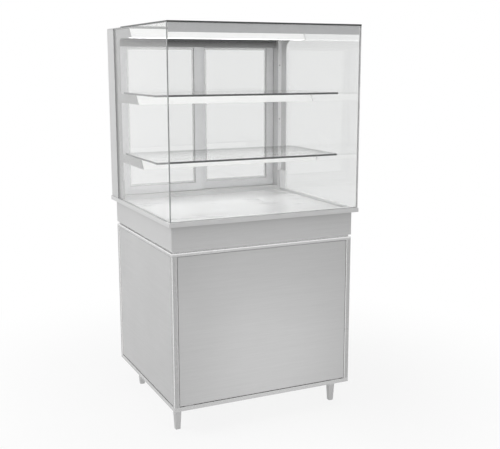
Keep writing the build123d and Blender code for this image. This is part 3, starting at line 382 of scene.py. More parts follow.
def painted_light(material, mask, colour):
    """Painted light: a brighter colour where a mask is 1."""
    tree = material.node_tree
    base = tree.nodes["Principled BSDF"].inputs["Base Color"]
    tree.links.new(two_tone(tree, mask, base.links[0].from_socket, colour), base)


def upright_corner(tree):
    """1 where a surface turns round an upright corner."""
    turn_start, turn_full = 0.12, 0.34
    turn = worked(tree, "ABSOLUTE", times(tree, facing(tree, x_axis), facing(tree, y_axis)))
    return ramp(tree, turn, turn_start, turn_full)


frame_metallic, frame_roughness = 0.7, 0.26
# The posts' grey is darker than the frame's: painted shade.
frame_up = brushed_metal(
    "frame_grain_upright", z_axis, grey(0.48), frame_metallic, frame_roughness,
)
# A painted highlight down the posts' upright corners.
painted_light(frame_up, upright_corner(frame_up.node_tree), grey(0.92))

frame_across = brushed_metal(
    "frame_grain_across", x_axis, grey(0.60), frame_metallic, frame_roughness, grain_depth=0.05,
)
# A painted highlight along the top 3.5 mm of the upper frame's face, just under the shadow gap.
frame_top = 0.772
rim_width, rim_fade = 0.0035, 0.0020
gap_edge, gap_fade = 0.0002, 0.0004
frame_tree = frame_across.node_tree
height = along(frame_tree, z_axis)
above_face = ramp(frame_tree, height, frame_top - rim_width - rim_fade, frame_top - rim_width)
below_gap = ramp(frame_tree, height, frame_top + gap_edge + gap_fade, frame_top + gap_edge)
painted_light(frame_across, times(frame_tree, above_face, below_gap), grey(0.97))

folded_copy("base_tray", frame_across, 0.0006)
give_finish(frame_up, "corner_posts")
folded_copy("upper_frame", frame_across, 0.0006)


# Front and side panels: plain trays of stainless steel sheet around a stiffener, with a fine
# grain. They hook into the frame, and a grey sealing lip lies in the gap beside and above each.
# The panels' colour is darkened in nooks as painted shade.
panel_nook_shade = 0.22
steel_across = brushed_metal(
    "steel_grain_across", x_axis, steel, steel_metallic, steel_roughness, panel_nook_shade,
)
steel_back = brushed_metal(
    "steel_grain_front_to_back", y_axis, steel, steel_metallic, steel_roughness, panel_nook_shade,
)
folded_copy("front_panel", steel_across, 0.0005)
folded_copy("left_side_panel", steel_back, 0.0005)
folded_copy("right_side_panel", steel_back, 0.0005)


def block(shell, low, high):
    """A box between two corners."""
    made = bmesh.ops.create_cube(shell, size=1.0)
    size = [h - l for l, h in zip(low, high)]
    middle = [(h + l) / 2 for l, h in zip(low, high)]
    place = Matrix.Translation(middle) @ Matrix.Diagonal((*size, 1.0))
    bmesh.ops.transform(shell, verts=made["verts"], matrix=place)
    return made["verts"]


def moulded(name, colour, roughness, grain=1500.0, grain_depth=0.15, wear=0.08):
    """Moulded plastic with a fine spark-eroded grain, cloudy wear and small changes in gloss."""
    material, tree = start_material(name)
    pits = noise(tree, grain, 2.0)
    cloud = noise(tree, 25.0, 3.0)
    tone = times(tree, spread(tree, cloud, 1.0 - wear, 1.0 + wear), spread(tree, pits, 0.97, 1.03))
    gloss = spread(tree, cloud, roughness * 0.85, roughness * 1.15)
    coat(tree, shade(tree, tone, colour), gloss, dent(tree, pits, grain_depth, 0.0001))
    return material


seal_width, seal_rise = 0.003, 0.002
seal_front, seal_back = 0.0016, 0.0060
seals = bmesh.new()
for panel, beside, outward in (
    ("front_panel", x_axis, -1), ("left_side_panel", y_axis, -1), ("right_side_panel", y_axis, 1),
):
    low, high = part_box(panel)
    through = 1 - beside
    face = high[through] if outward > 0 else low[through]
    depths = sorted((face - outward * seal_front, face - outward * seal_back))
    for start, end, bottom in (
        (low[beside] - seal_width, low[beside], low.z),
        (high[beside], high[beside] + seal_width, low.z),
        (low[beside], high[beside], high.z),
    ):
        near, far = [0.0, 0.0, bottom], [0.0, 0.0, high.z + seal_rise]
        near[beside], far[beside] = start, end
        near[through], far[through] = depths
        block(seals, near, far)
seal_rubber = moulded("seal_rubber", grey(0.42), 0.6)
set_piece("panel_seals", seals, "cabinet", "grey_plastic", seal_rubber)


# Rear panel: a fixed steel tray beside the service door, held by six screws.
# The black nylon gland for a supply cable sits low in it, with a ribbed nut.
give_finish(steel_across, "rear_panel")
forward, rearward, upward = (0, -1, 0), (0, 1, 0), (0, 0, 1)


def lathe(shell, profile, centre, axis, steps=24):
    """Turn a profile of (radius, height) points round an axis through a centre."""
    turn = Vector(axis).normalized()
    side = turn.orthogonal().normalized()
    points = [shell.verts.new(Vector(centre) + side * r + turn * h) for r, h in profile]
    line = [shell.edges.new(pair) for pair in zip(points, points[1:])]
    bmesh.ops.spin(
        shell, geom=points + line, cent=centre, axis=turn, dvec=(0, 0, 0),
        angle=math.tau, steps=steps, use_merge=True,
    )


def close_lathe(shell):
    """Merge the turned points that meet and point every face outwards."""
    bmesh.ops.remove_doubles(shell, verts=shell.verts, dist=0.000002)
    bmesh.ops.recalc_face_normals(shell, faces=shell.faces)
    smooth_curves(shell)


def rod(shell, centre, axis, radius, length, sides=8):
    """A straight bar with flat ends, its middle at a centre."""
    made = bmesh.ops.create_cone(
        shell, cap_ends=True, segments=sides, radius1=radius, radius2=radius, depth=length,
    )
    turn = Vector(upward).rotation_difference(Vector(axis)).to_matrix().to_4x4()
    bmesh.ops.transform(shell, verts=made["verts"], matrix=Matrix.Translation(centre) @ turn)


def plain_metal(name, colour, metallic, roughness, speck=0.06):
    """Turned, cast or plated metal with small differences in tone and gloss."""
    material, tree = start_material(name)
    cloud = noise(tree, 60.0, 3.0)
    grit = noise(tree, 1400.0, 2.0)
    tone = spread(tree, cloud, 1.0 - speck, 1.0 + speck)
    tone = times(tree, tone, spread(tree, grit, 0.98, 1.02))
    gloss = spread(tree, cloud, roughness * 0.8, roughness * 1.2)
    coat(tree, shade(tree, tone, colour), gloss, dent(tree, grit, 0.1, 0.0001), metallic)
    return material


screw_steel = plain_metal("screw_steel", (0.62, 0.62, 0.61), 0.95, 0.26)


def screws(name, columns, face, rows, axis, radius):
    """Pan head screws with a socket, in columns and rows on an upright face of the cabinet."""
    shell = bmesh.new()
    socket = ((0.0, 0.28), (0.34, 0.28), (0.38, 0.62))
    dome = ((0.62, 0.60), (0.86, 0.44), (1.0, 0.14), (1.0, -0.1), (0.0, -0.1))
    head = [(r * radius, h * radius) for r, h in socket + dome]
    for x in columns:
        for z in rows:
            lathe(shell, head, (x, face, z), axis, 18)
    close_lathe(shell)
    set_piece(name, shell, "cabinet", "brushed_stainless", screw_steel)


rear_face = 0.373
screws("rear_panel_screws", (-0.377, -0.160), rear_face, (0.146, 0.442, 0.738), rearward, 0.0032)

black_nylon = moulded("black_nylon", (0.022, 0.022, 0.024), 0.42)
give_finish(black_nylon, "cable_gland")
gland_nut = Vector((-0.327, 0.3765, 0.198))
rib_count, rib_ring = 16, 0.0148
rib_radius, rib_length = 0.0009, 0.0056
gland_ribs = bmesh.new()
for step in range(rib_count):
    angle = math.tau * step / rib_count
    outward = Vector((math.cos(angle), 0, math.sin(angle)))
    rod(gland_ribs, gland_nut + outward * rib_ring, forward, rib_radius, rib_length)
smooth_curves(gland_ribs, 50.0)
set_piece("gland_ribs", gland_ribs, "cabinet", "black_plastic", black_nylon)


# Service door: a louvred steel door over the condensing unit, hung on two turned pins.
# Its bent rod handle stands on two small rosettes.
turned_steel = plain_metal("turned_steel", (0.66, 0.66, 0.65), 0.95, 0.24)
handle_steel = plain_metal("handle_steel", (0.68, 0.68, 0.67), 0.95, 0.22, 0.03)
give_finish(steel_across, "service_door")
give_finish(turned_steel, "service_door_pivots")
give_finish(handle_steel, "service_door_handle")
handle_x, handle_feet = -0.101, (0.516, 0.636)
rosette_bore, rosette_radius, rosette_height, rosette_round = 0.0046, 0.0095, 0.0016, 0.0007
rosette = (
    (rosette_bore, 0.0),
    (rosette_radius, 0.0),
    (rosette_radius, rosette_height - rosette_round),
    (rosette_radius - rosette_round, rosette_height),
    (rosette_bore, rosette_height),
    (rosette_bore, 0.0),
)
rosettes = bmesh.new()
for z in handle_feet:
    lathe(rosettes, rosette, (handle_x, rear_face, z), rearward, 32)
close_lathe(rosettes)
set_piece("handle_rosettes", rosettes, "service_door", "brushed_stainless", turned_steel)


# Condensing unit: a black enamelled compressor, a finned aluminium condenser with copper bends,
# and a galvanised shroud around a plastic fan. Copper lines with brazed joints link it to the
# evaporator.
def enamel(name, colour, roughness):
    """Baked enamel with orange peel, and dust and chips in a lighter tone."""
    material, tree = start_material(name)
    peel = noise(tree, 260.0, 1.0)
    cloud = noise(tree, 14.0, 4.0)
    tone = shade(tree, spread(tree, cloud, 0.85, 1.25), colour)
    gloss = spread(tree, cloud, roughness * 0.8, roughness * 1.3)
    coat(tree, tone, gloss, dent(tree, peel, 0.2, 0.0004))
    return material


def away_from(tree, axis, middle, half, soft):
    """1 further than a half width from the middle along an axis, and 0 nearer."""
    shift = worked(tree, "SUBTRACT", along(tree, axis), middle)
    return ramp(tree, worked(tree, "ABSOLUTE", shift), half, half + soft)


fin_tone = (0.62, 0.63, 0.64)
copper_tone = (0.55, 0.27, 0.16)
tarnish_tone = (0.42, 0.22, 0.15)


def finned_coil(name, middle, half_width):
    """Aluminium fins, and copper where the tubes stand out at the two ends."""
    material, tree = start_material(name)
    cloud = noise(tree, 40.0, 3.0)
    ends = away_from(tree, x_axis, middle, half_width, 0.0004)
    metal = two_tone(tree, ends, fin_tone, copper_tone)
    tone = shade(tree, spread(tree, cloud, 0.88, 1.06), metal)
    dents = dent(tree, noise(tree, 700.0), 0.15, 0.0002)
    coat(tree, tone, spread(tree, cloud, 0.3, 0.45), dents, metallic=0.8)
    return material


black_enamel = enamel("black_enamel", (0.016, 0.016, 0.018), 0.28)
fan_plastic = moulded("fan_plastic", (0.05, 0.052, 0.055), 0.38)
give_finish(black_enamel, "compressor", "condenser_fan_motor")
give_finish(finned_coil("condenser_coil", 0.12, 0.1602), "condenser")
give_finish(fan_plastic, "condenser_fan")

galvanised, zinc = start_material("galvanised_sheet")
zinc_place = zinc.nodes.new("ShaderNodeTexCoord")
spangle = zinc.nodes.new("ShaderNodeTexVoronoi")
spangle.inputs["Scale"].default_value = 130.0
zinc.links.new(zinc_place.outputs["Object"], spangle.inputs["Vector"])
flake = zinc.nodes.new("ShaderNodeSeparateXYZ")
zinc.links.new(spangle.outputs["Color"], flake.inputs[0])
coat(
    zinc,
    shade(zinc, spread(zinc, flake.outputs[0], 0.9, 1.08), (0.52, 0.54, 0.55)),
    spread(zinc, flake.outputs[1], 0.36, 0.5),
    dent(zinc, spangle.outputs["Distance"], 0.08, 0.0003),
    metallic=0.85,
)
give_finish(galvanised, "condenser_fan_shroud")

copper, tube = start_material("copper_tube")
tarnish = noise(tube, 30.0, 4.0)
heat = spread(tube, noise(tube, 9.0, 2.0), 0.0, 1.0)
coat(
    tube,
    shade(tube, spread(tube, tarnish, 0.8, 1.12), two_tone(tube, heat, copper_tone, tarnish_tone)),
    spread(tube, tarnish, 0.2, 0.36),
    dent(tube, noise(tube, 400.0), 0.1, 0.0002),
    metallic=0.95,
)
give_finish(copper, "refrigerant_lines")

foot_plate_top = 0.1305
washer_height, nut_height, nut_radius = 0.0016, 0.0050, 0.0058
washer = ((0.0, washer_height), (0.0085, washer_height), (0.0085, -0.0002), (0.0, -0.0002))
stud = ((0.0, 0.0106), (0.0024, 0.0106), (0.003, 0.0099), (0.003, 0.0066), (0.0, 0.0066))
foot_bolts = bmesh.new()
for x in (0.028, 0.212):
    for y in (-0.044, 0.084):
        nut_middle = foot_plate_top + washer_height + nut_height / 2
        lathe(foot_bolts, washer, (x, y, foot_plate_top), upward, 24)
        rod(foot_bolts, (x, y, nut_middle), upward, nut_radius, nut_height, 6)
        lathe(foot_bolts, stud, (x, y, foot_plate_top), upward, 16)
close_lathe(foot_bolts)
set_piece("compressor_foot_nuts", foot_bolts, "cabinet", "brushed_stainless", screw_steel)

wire_radius, wire_x = 0.0011, 0.12
clip_front, clip_middle, clip_height = -0.0951, 0.230, 0.074
arm_middle, arm_length = -0.0791, 0.034
bail_wire = bmesh.new()
rod(bail_wire, (wire_x, clip_front, clip_middle), upward, wire_radius, clip_height)
for z in (0.1935, 0.2665):
    rod(bail_wire, (wire_x, arm_middle, z), forward, wire_radius, arm_length)
smooth_curves(bail_wire, 50.0)
set_piece("terminal_cover_clip", bail_wire, "cabinet", "brushed_stainless", screw_steel)


# Apron: a deep band of folded stainless steel under the worktop, hung inside it.
# It hides the well and carries the controls at the rear.
# Its grey is lighter than the panels', and darkened under the worktop's lip and in nooks as painted
# shade.
apron_nook_shade = 0.34
apron_steel = brushed_metal(
    "apron_grain_across", x_axis, grey(0.64), steel_metallic, steel_roughness, apron_nook_shade,
)
folded_copy("apron", apron_steel, 0.0003)


# Refrigerated well: a welded stainless liner in foam, with a finned evaporator, a fan panel with
# two fans and a drain that drips into a pan on the base tray.
give_finish(steel_across, "well_liner", "drain_pan", "evaporator_fan_panel")
give_finish(black_enamel, "evaporator_fan_motors")
give_finish(fan_plastic, "evaporator_fan_left", "evaporator_fan_right")
give_finish(finned_coil("evaporator_coil", 0.0, 0.2802), "evaporator")

foam, cells = start_material("rigid_foam")
bubbles = noise(cells, 600.0, 3.0)
skin = noise(cells, 18.0, 3.0)
foam_tone = times(cells, spread(cells, bubbles, 0.9, 1.05), spread(cells, skin, 0.92, 1.06))
coat(
    cells,
    shade(cells, foam_tone, (0.80, 0.73, 0.50)),
    spread(cells, bubbles, 0.8, 0.95),
    dent(cells, bubbles, 0.5, 0.0006),
)
give_finish(foam, "well_insulation")

fan_panel_front = -0.020
screws("fan_panel_screws", (-0.352, 0.0, 0.352), fan_panel_front, (0.738, 0.874), forward, 0.0030)


# Worktop and deck: a sheet of heavier stainless steel folded down all round into a lip, with a
# lift-out deck plate in its recess, slotted front and rear for the cold air.
worktop_steel = brushed_metal(
    "worktop_grain_across", x_axis, grey(0.68), metallic=0.5, roughness=0.34, grain_depth=0.04,
)
# A painted highlight along the top of the worktop's front rim, at the foot of the front glass.
front_rim_start, front_rim_full = -0.353, -0.357
level_start, level_full = 0.8, 0.95
top_tree = worktop_steel.node_tree
front_rim = ramp(top_tree, along(top_tree, y_axis), front_rim_start, front_rim_full)
rim_top = ramp(top_tree, facing(top_tree, z_axis), level_start, level_full)
painted_light(worktop_steel, times(top_tree, front_rim, rim_top), grey(0.97))
folded_copy("worktop", worktop_steel, 0.0007)
# The deck plate's grey is far lighter than the other steel's: painted light.
deck_steel = brushed_metal(
    "deck_grain_across", x_axis, grey(0.88), metallic=0.25, roughness=0.3, grain_depth=0.04,
)
give_finish(deck_steel, "deck_plate")


# Controls: a screwed steel fascia on the rear of the apron with a black controller and two rockers.
# The controller has a dark window and three keys, marked with plain arrows and a dot.
folded_copy("control_fascia", steel_across, 0.0004)
fascia_face = 0.377
screws("fascia_screws", (-0.336, -0.024), fascia_face, (0.796, 0.866), rearward, 0.0024)

black_plastic = moulded("black_plastic", (0.026, 0.026, 0.028), 0.4)
grey_plastic = moulded("grey_plastic", (0.30, 0.31, 0.32), 0.45)
rocker_plastic = moulded("rocker_plastic", (0.02, 0.02, 0.022), 0.22)
mark_white = moulded("mark_white", (0.72, 0.72, 0.70), 0.5)
give_finish(black_plastic, "controller", "switch_housings")
give_finish(grey_plastic, "set_button", "up_button", "down_button")
give_finish(rocker_plastic, "main_switch_rocker", "light_switch_rocker")

window_glass, dark = start_material("display_window")
smudge = noise(dark, 70.0, 3.0)
coat(
    dark,
    shade(dark, spread(dark, smudge, 0.85, 1.15), (0.035, 0.008, 0.008)),
    spread(dark, smudge, 0.06, 0.16),
    dent(dark, noise(dark, 30.0), 0.03, 0.0002),
)
display = bmesh.new()
block(display, (-0.2479, 0.37921, 0.8222), (-0.2171, 0.37992, 0.8398))
round_edges(display, display.edges[:], 0.0002)
set_piece("display_window", display, "cabinet", "black_plastic", window_glass)

key_face, key_height = 0.3814, 0.831
arrow_base, arrow_top, arrow_depth = 0.0019, 0.0017, 0.0003
for key, key_x, arrow_turn in (("up_button", -0.267, -90), ("down_button", -0.278, -270)):
    arrow = bmesh.new()
    tip = bmesh.ops.create_cone(
        arrow, cap_ends=True, segments=3, radius1=arrow_base, radius2=arrow_top, depth=arrow_depth,
    )
    bmesh.ops.transform(arrow, verts=tip["verts"], matrix=(
        Matrix.Translation((key_x, key_face + 0.0001, key_height))
        @ Matrix.Rotation(math.radians(-90), 4, "X")
        @ Matrix.Rotation(math.radians(arrow_turn), 4, "Z")
    ))
    set_piece(key + "_arrow", arrow, key, "grey_plastic", mark_white)

dot_shape = ((0.0, 0.00025), (0.0011, 0.00025), (0.0012, 0.0001), (0.0012, -0.0001), (0.0, -0.0001))
dot = bmesh.new()
lathe(dot, dot_shape, (-0.256, key_face, key_height), rearward, 24)
close_lathe(dot)
set_piece("set_button_dot", dot, "set_button", "grey_plastic", mark_white)

mark_sunk, mark_proud = -0.0001, 0.00018
ring_inner, ring_outer = 0.0015, 0.0022
mark_ring = (
    (ring_inner, mark_sunk), (ring_outer, mark_sunk),
    (ring_outer, mark_proud), (ring_inner, mark_proud), (ring_inner, mark_sunk),
)
upper_half_tilt, lower_half_face = -21.1, (0, 0.992, 0.123)
for rocker, rocker_x in (("main_switch_rocker", -0.086), ("light_switch_rocker", -0.120)):
    marks = bmesh.new()
    bar = block(marks, (-0.0005, mark_sunk, -0.0022), (0.0005, mark_proud, 0.0022))
    bmesh.ops.transform(marks, verts=bar, matrix=(
        Matrix.Translation((rocker_x, 0.37835, 0.83525))
        @ Matrix.Rotation(math.radians(upper_half_tilt), 4, "X")
    ))
    lathe(marks, mark_ring, (rocker_x, 0.3771, 0.8253), lower_half_face, 28)
    close_lathe(marks)
    set_piece(rocker + "_marks", marks, rocker, "black_plastic", mark_white)


# Doorway: two jambs, a header and a sill folded from stainless steel carry the sliding doors.
# A steel cover closes the top behind the glass roof.
doorway_metallic, doorway_roughness = 0.45, 0.36
doorway_up = brushed_metal(
    "doorway_grain_upright", z_axis, grey(0.62), doorway_metallic, doorway_roughness,
)
doorway_across = brushed_metal(
    "doorway_grain_across", x_axis, grey(0.68), doorway_metallic, doorway_roughness,
)
folded_copy("door_jambs", doorway_up, 0.0008)
folded_copy("door_header", doorway_across, 0.0008)
folded_copy("door_sill", doorway_across, 0.0006)
folded_copy("top_cover", steel_across, 0.0008)


# Glass case: polished 6 mm panes bonded edge to edge, standing on the worktop in a thin bead of
# clear silicone. An anodised angle stiffens the top of the front pane.
def clear_glass(name, tint, wave):
    """Clear sheet glass that lets light through and mirrors more the flatter it is seen."""
    mirror_least, mirror_power = 0.04, 5.0
    material, tree = start_material(name)
    tree.nodes.remove(tree.nodes["Principled BSDF"])
    through = tree.nodes.new("ShaderNodeBsdfTransparent")
    through.inputs["Color"].default_value = (*tint, 1.0)
    mirror = tree.nodes.new("ShaderNodeBsdfAnisotropic")
    mirror.inputs["Color"].default_value = (1.0, 1.0, 1.0, 1.0)
    smears = noise(tree, 12.0, 4.0)
    tree.links.new(spread(tree, smears, 0.0, 0.05), mirror.inputs["Roughness"])
    tree.links.new(dent(tree, noise(tree, 5.0, 1.0), wave, 0.0005), mirror.inputs["Normal"])
    slant = tree.nodes.new("ShaderNodeLayerWeight")
    slant.inputs["Blend"].default_value = 0.5
    share = worked(tree, "POWER", slant.outputs["Facing"], mirror_power)
    share = worked(tree, "MULTIPLY_ADD", share, 1.0 - mirror_least, mirror_least)
    show_mix(tree, "Material Output", share, through.outputs[0], mirror.outputs[0])
    return material


def ground_edge(name, colour):
    """The polished edge of a pane, painted a grey for the shade seen in glass edges, with fine
    grinding lines.
    """
    material, tree = start_material(name)
    lines = noise(tree, 1200.0, 2.0)
    cloud = noise(tree, 7.0, 2.0)
    tone = times(tree, spread(tree, lines, 0.92, 1.08), spread(tree, cloud, 0.85, 1.15))
    gloss = spread(tree, lines, 0.12, 0.24)
    coat(tree, shade(tree, tone, colour), gloss, dent(tree, lines, 0.05, 0.0001))
    return material


hair = 0.00005


def pane(node, body, sheet_glass, edge_glass, arris, corner=0.0, other_edges=()):
    """A sheet of glass for a CAD node, with ground edges and a hair's room all round.

    other_edges are the edges with a finish of their own, each a direction and a material.
    """
    low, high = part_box(node)
    low += Vector((hair, hair, hair))
    high -= Vector((hair, hair, hair))
    size = high - low
    thin = min(range(3), key=lambda axis: size[axis])
    shell = bmesh.new()
    block(shell, low, high)
    if corner:
        upright = [e for e in shell.edges
                   if abs((e.verts[0].co - e.verts[1].co)[thin]) > size[thin] * 0.9]
        round_edges(shell, upright, corner, 5)
    rims = [e for e in shell.edges if len({abs(f.normal[thin]) > 0.9 for f in e.link_faces}) == 2]
    round_edges(shell, rims, arris, 1)
    for face in shell.faces:
        face.material_index = 0 if abs(face.normal[thin]) > 0.9 else 1
        for number, (way, _) in enumerate(other_edges):
            if face.normal.dot(Vector(way)) > 0.5:
                face.material_index = 2 + number
    materials = (sheet_glass, edge_glass, *(finish for _, finish in other_edges))
    set_piece(node + "_sheet", shell, body, "clear_glass", *materials, replaced=(node,))


case_glass = clear_glass("case_glass", (0.94, 0.942, 0.941), 0.05)
pale_edge = ground_edge("pale_glass_edge", (0.45, 0.46, 0.46))
# The dark edge grey is painted shade, on the side panes' rear edges, all the roof's edges and the
# shelves' edges.
dark_edge = ground_edge("dark_glass_edge", (0.07, 0.075, 0.075))
# The silicone is near-white, so the panes' bottom faces, the bonded end faces at the front right
# corner and the foot beads show a painted highlight.
silicone = moulded("clear_silicone", grey(0.94), 0.3)
downward, rightward = (0, 0, -1), (1, 0, 0)
case_arris = 0.0006
for node, edge_glass, other_edges in (
    ("front_glass", pale_edge, ((downward, silicone), (rightward, silicone))),
    ("left_side_glass", pale_edge, ((rearward, dark_edge),)),
    ("right_side_glass", pale_edge, ((rearward, dark_edge), (forward, silicone))),
    ("top_glass", dark_edge, ()),
):
    pane(node, "cabinet", case_glass, edge_glass, case_arris, other_edges=other_edges)

give_finish(plain_metal("anodised_angle", (0.70, 0.70, 0.71), 0.6, 0.36, 0.03), "top_front_profile")

worktop_face = 0.900
inside_x, inside_front, inside_back = 0.419, -0.395, 0.3017
bead, front_bead, bead_slope = 0.0035, 0.0065, 0.85
bead_top = worktop_face + bead
beads = bmesh.new()
for low, high, across, inward in (
    ((-inside_x, inside_front), (inside_x, inside_front + front_bead), y_axis, 1),
    ((-inside_x, inside_front), (-inside_x + bead, inside_back), x_axis, 1),
    ((inside_x - bead, inside_front), (inside_x, inside_back), x_axis, -1),
):
    corners = block(beads, (*low, worktop_face), (*high, bead_top))
    for corner in sorted(corners, key=lambda v: inward * v.co[across])[4:]:
        if corner.co.z > worktop_face + bead / 2:
            corner.co[across] -= inward * bead * bead_slope
set_piece("glass_foot_beads", beads, "cabinet", "clear_glass", silicone)


# Brackets: uprights with three arms cut in one piece from 4 mm stainless steel plate, with a
# flange screwed to the jambs. Their arms carry the lamps and the two glass shelves.
# The left plate's darker grey is painted shade; the right plate's lighter grey, its brighter flange
# face and its brighter lower end are painted light.
left_plate = brushed_metal("left_bracket_plate", z_axis, grey(0.44), 0.45, 0.4)
right_plate = brushed_metal("right_bracket_plate", z_axis, grey(0.62), 0.35, 0.4)
lower_light_top, lower_light_fade = 0.988, 0.0005
front_start, front_full = -0.5, -0.8
plate_tree = right_plate.node_tree
flange = ramp(plate_tree, facing(plate_tree, y_axis), front_start, front_full)
painted_light(right_plate, flange, grey(0.97))
plate_height = along(plate_tree, z_axis)
lower_painted_light = ramp(plate_tree, plate_height, lower_light_top, lower_light_top - lower_light_fade)
painted_light(right_plate, lower_painted_light, grey(0.97))
give_finish(left_plate, "left_bracket")
give_finish(right_plate, "right_bracket")
flange_front = 0.299
screws("bracket_screws", (-0.4045, 0.4045), flange_front, (1.03, 1.24, 1.50, 1.63), forward, 0.0030)


# Lamps: folded steel housings in white powder coat, screwed under each pair of arms.
# A strip of opal plastic closes each of them below.
def lit(material, strength):
    """Let a material glow white, for a lamp that is on and for painted light on the housings."""
    surface = material.node_tree.nodes["Principled BSDF"]
    surface.inputs["Emission Color"].default_value = (1.0, 1.0, 1.0, 1.0)
    surface.inputs["Emission Strength"].default_value = strength


white_coat = moulded("white_powder_coat", (0.84, 0.84, 0.83), 0.38, 380.0, 0.12, 0.02)
# The housings' glow is painted light; the opal strips are the lamps.
lit(white_coat, 0.45)
give_finish(white_coat, "lamp_housings")
opal, milk = start_material("opal_strip")
coat(
    milk,
    shade(milk, spread(milk, noise(milk, 20.0), 0.98, 1.01), (0.90, 0.90, 0.89)),
    spread(milk, noise(milk, 500.0), 0.35, 0.45),
    dent(milk, noise(milk, 900.0), 0.05, 0.0001),
)
lit(opal, 4.2)
give_finish(opal, "lamp_diffusers")


# Shelves: two loose sheets of 8 mm glass with rounded corners, lying on the lower two pairs of
# arms. Their ground edges are painted dark, as painted shade.
shelf_glass = clear_glass("shelf_glass", (0.97, 0.973, 0.971), 0.04)
shelf_arris, shelf_corner = 0.0008, 0.006
for node in ("upper_shelf", "lower_shelf"):
    pane(node, "cabinet", shelf_glass, dark_edge, shelf_arris, shelf_corner)


# Head brush: a strip of pile in a thin aluminium holder under the header, in front of the
# doors. It hangs over their top rails and keeps the cold air in. The pile and holder are near black
# as painted shade over the top rails, and the pile turns lighter towards its tips as that shade
# fades.
header_underside = 1.620
holder_end, holder_front, holder_back, holder_height = 0.3965, 0.3195, 0.3265, 0.007
pile_end, pile_inset, pile_top = 0.3955, 0.0015, header_underside - 0.006
pile_bottom, pile_fade_start = 1.5845, 1.609
brush_pile, hairs = start_material("brush_pile")
strands = noise(hairs, 900.0, 2.0, drawn_out(z_axis, 0.05))
# Painted shade: near black at the holder, lighter towards the pile's tips.
dust = ramp(hairs, along(hairs, z_axis), pile_fade_start, pile_bottom)
pile_tone = two_tone(hairs, dust, grey(0.012), grey(0.34))
coat(
    hairs,
    shade(hairs, spread(hairs, strands, 0.85, 1.15), pile_tone),
    spread(hairs, strands, 0.8, 0.95),
    dent(hairs, strands, 0.6, 0.0002),
)
# The holder's near-black is painted shade too.
brush_holder = plain_metal("brush_holder", (0.025, 0.025, 0.026), 0.4, 0.4, 0.04)
holder = bmesh.new()
block(
    holder,
    (-holder_end, holder_front, header_underside - holder_height),
    (holder_end, holder_back, header_underside),
)
round_edges(holder, holder.edges[:], 0.0008)
set_piece("head_brush_holder", holder, "cabinet", "aluminium", brush_holder)


def long_edges(shell):
    """The edges that run along a strip."""
    return [e for e in shell.edges if e.calc_length() > 0.1]


pile = bmesh.new()
block(
    pile,
    (-pile_end, holder_front + pile_inset, pile_bottom),
    (pile_end, holder_back - pile_inset, pile_top),
)
bmesh.ops.subdivide_edges(pile, edges=long_edges(pile), cuts=130)
ends = [v for v in pile.verts if v.co.z < pile_bottom + 0.001]
uneven_pile, uneven_step = 0.0011, 2.4
for number, tip in enumerate(sorted(ends, key=lambda v: (v.co.x, v.co.y))):
    tip.co.z += uneven_pile * (0.5 + 0.5 * math.sin(number * uneven_step))
set_piece("head_brush_pile", pile, "cabinet", "roller_plastic", brush_pile)


# Sliding doors: anodised aluminium frames around 4 mm glass, each on two nylon rollers in the
# sill. A clear vinyl bead holds the glass on both sides, and a brush closes the gap where the
# doors overlap.
def picture_frame(shell, low, high, width):
    """A flat rectangular ring between two corners, its width inwards, its depth along y."""
    made = bmesh.ops.create_grid(shell, x_segments=1, y_segments=1, size=0.5)
    middle = [(l + h) / 2 for l, h in zip(low, high)]
    place = (
        Matrix.Translation((middle[0], high[1], middle[2]))
        @ Matrix.Diagonal((high[0] - low[0], 1.0, high[2] - low[2], 1.0))
        @ Matrix.Rotation(math.radians(-90), 4, "X")
    )
    bmesh.ops.transform(shell, verts=made["verts"], matrix=place)
    face = made["verts"][0].link_faces[0]
    ring = bmesh.ops.inset_region(
        shell, faces=[face], thickness=width, use_even_offset=True, use_boundary=True,
    )["faces"]
    bmesh.ops.delete(shell, geom=[face], context="FACES_ONLY")
    walls = bmesh.ops.extrude_face_region(shell, geom=ring, use_keep_orig=True)
    raised = [v for v in walls["geom"] if isinstance(v, bmesh.types.BMVert)]
    bmesh.ops.translate(shell, verts=raised, vec=(0, low[1] - high[1], 0))


def let_through(material, share):
    """Let a share of the light straight through each face of a plastic piece."""
    tree = material.node_tree
    plastic = tree.nodes["Principled BSDF"]
    through = tree.nodes.new("ShaderNodeBsdfTransparent")
    show_mix(tree, "Material Output", share, plastic.outputs[0], through.outputs[0])


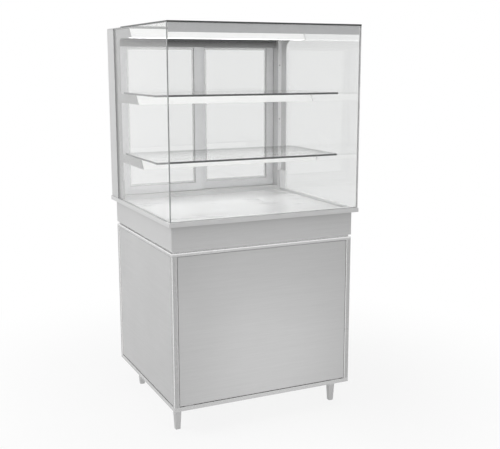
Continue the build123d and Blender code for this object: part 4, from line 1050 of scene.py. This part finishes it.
anodised = plain_metal("anodised_aluminium", (0.80, 0.80, 0.81), 0.4, 0.36, 0.03)
vinyl = moulded("clear_vinyl_bead", grey(0.92), 0.4)
let_through(vinyl, 0.85)
roller_nylon = moulded("roller_nylon", (0.78, 0.77, 0.72), 0.4)
door_glass = clear_glass("door_glass", (0.94, 0.942, 0.941), 0.04)
door_arris = 0.0004
stile, door_bottom, door_top = 0.036, 0.910, 1.617
ring_width, ring_depth, ring_round = 0.009, 0.0042, 0.0007
for door in ("left_door", "right_door"):
    give_finish(anodised, door + "_frame")
    give_finish(roller_nylon, door + "_roller_left", door + "_roller_right")
    pane(door + "_glass", door, door_glass, pale_edge, door_arris)
    low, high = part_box(door + "_frame")
    glass_low, glass_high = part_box(door + "_glass")
    opening_low = Vector((low.x + stile, 0, door_bottom + stile))
    opening_high = Vector((high.x - stile, 0, door_top - stile))
    rings = bmesh.new()
    for ring_front, ring_back in (
        (glass_low.y - ring_depth, glass_low.y), (glass_high.y, glass_high.y + ring_depth),
    ):
        picture_frame(
            rings,
            (opening_low.x, ring_front, opening_low.z),
            (opening_high.x, ring_back, opening_high.z),
            ring_width,
        )
    bmesh.ops.remove_doubles(rings, verts=rings.verts, dist=0.00001)
    bmesh.ops.recalc_face_normals(rings, faces=rings.faces)
    round_edges(rings, outer_creases(rings), ring_round)
    set_piece(door + "_glazing_bead", rings, door, "aluminium", vinyl)

brush_tips, uneven_tips = 0.3490, 0.0006
brush = bmesh.new()
block(brush, (-0.0012, 0.3440, 0.916), (0.0028, 0.3498, 1.611))
bmesh.ops.subdivide_edges(brush, edges=long_edges(brush), cuts=60)
tips = [v for v in brush.verts if v.co.y > brush_tips]
for number, tip in enumerate(sorted(tips, key=lambda v: (v.co.z, v.co.x))):
    tip.co.y -= uneven_tips * (0.5 + 0.5 * math.sin(number * uneven_step))
meeting_pile = moulded("meeting_pile", grey(0.045), 0.9, 900.0, 0.6)
set_piece("door_meeting_brush", brush, "left_door", "roller_plastic", meeting_pile)
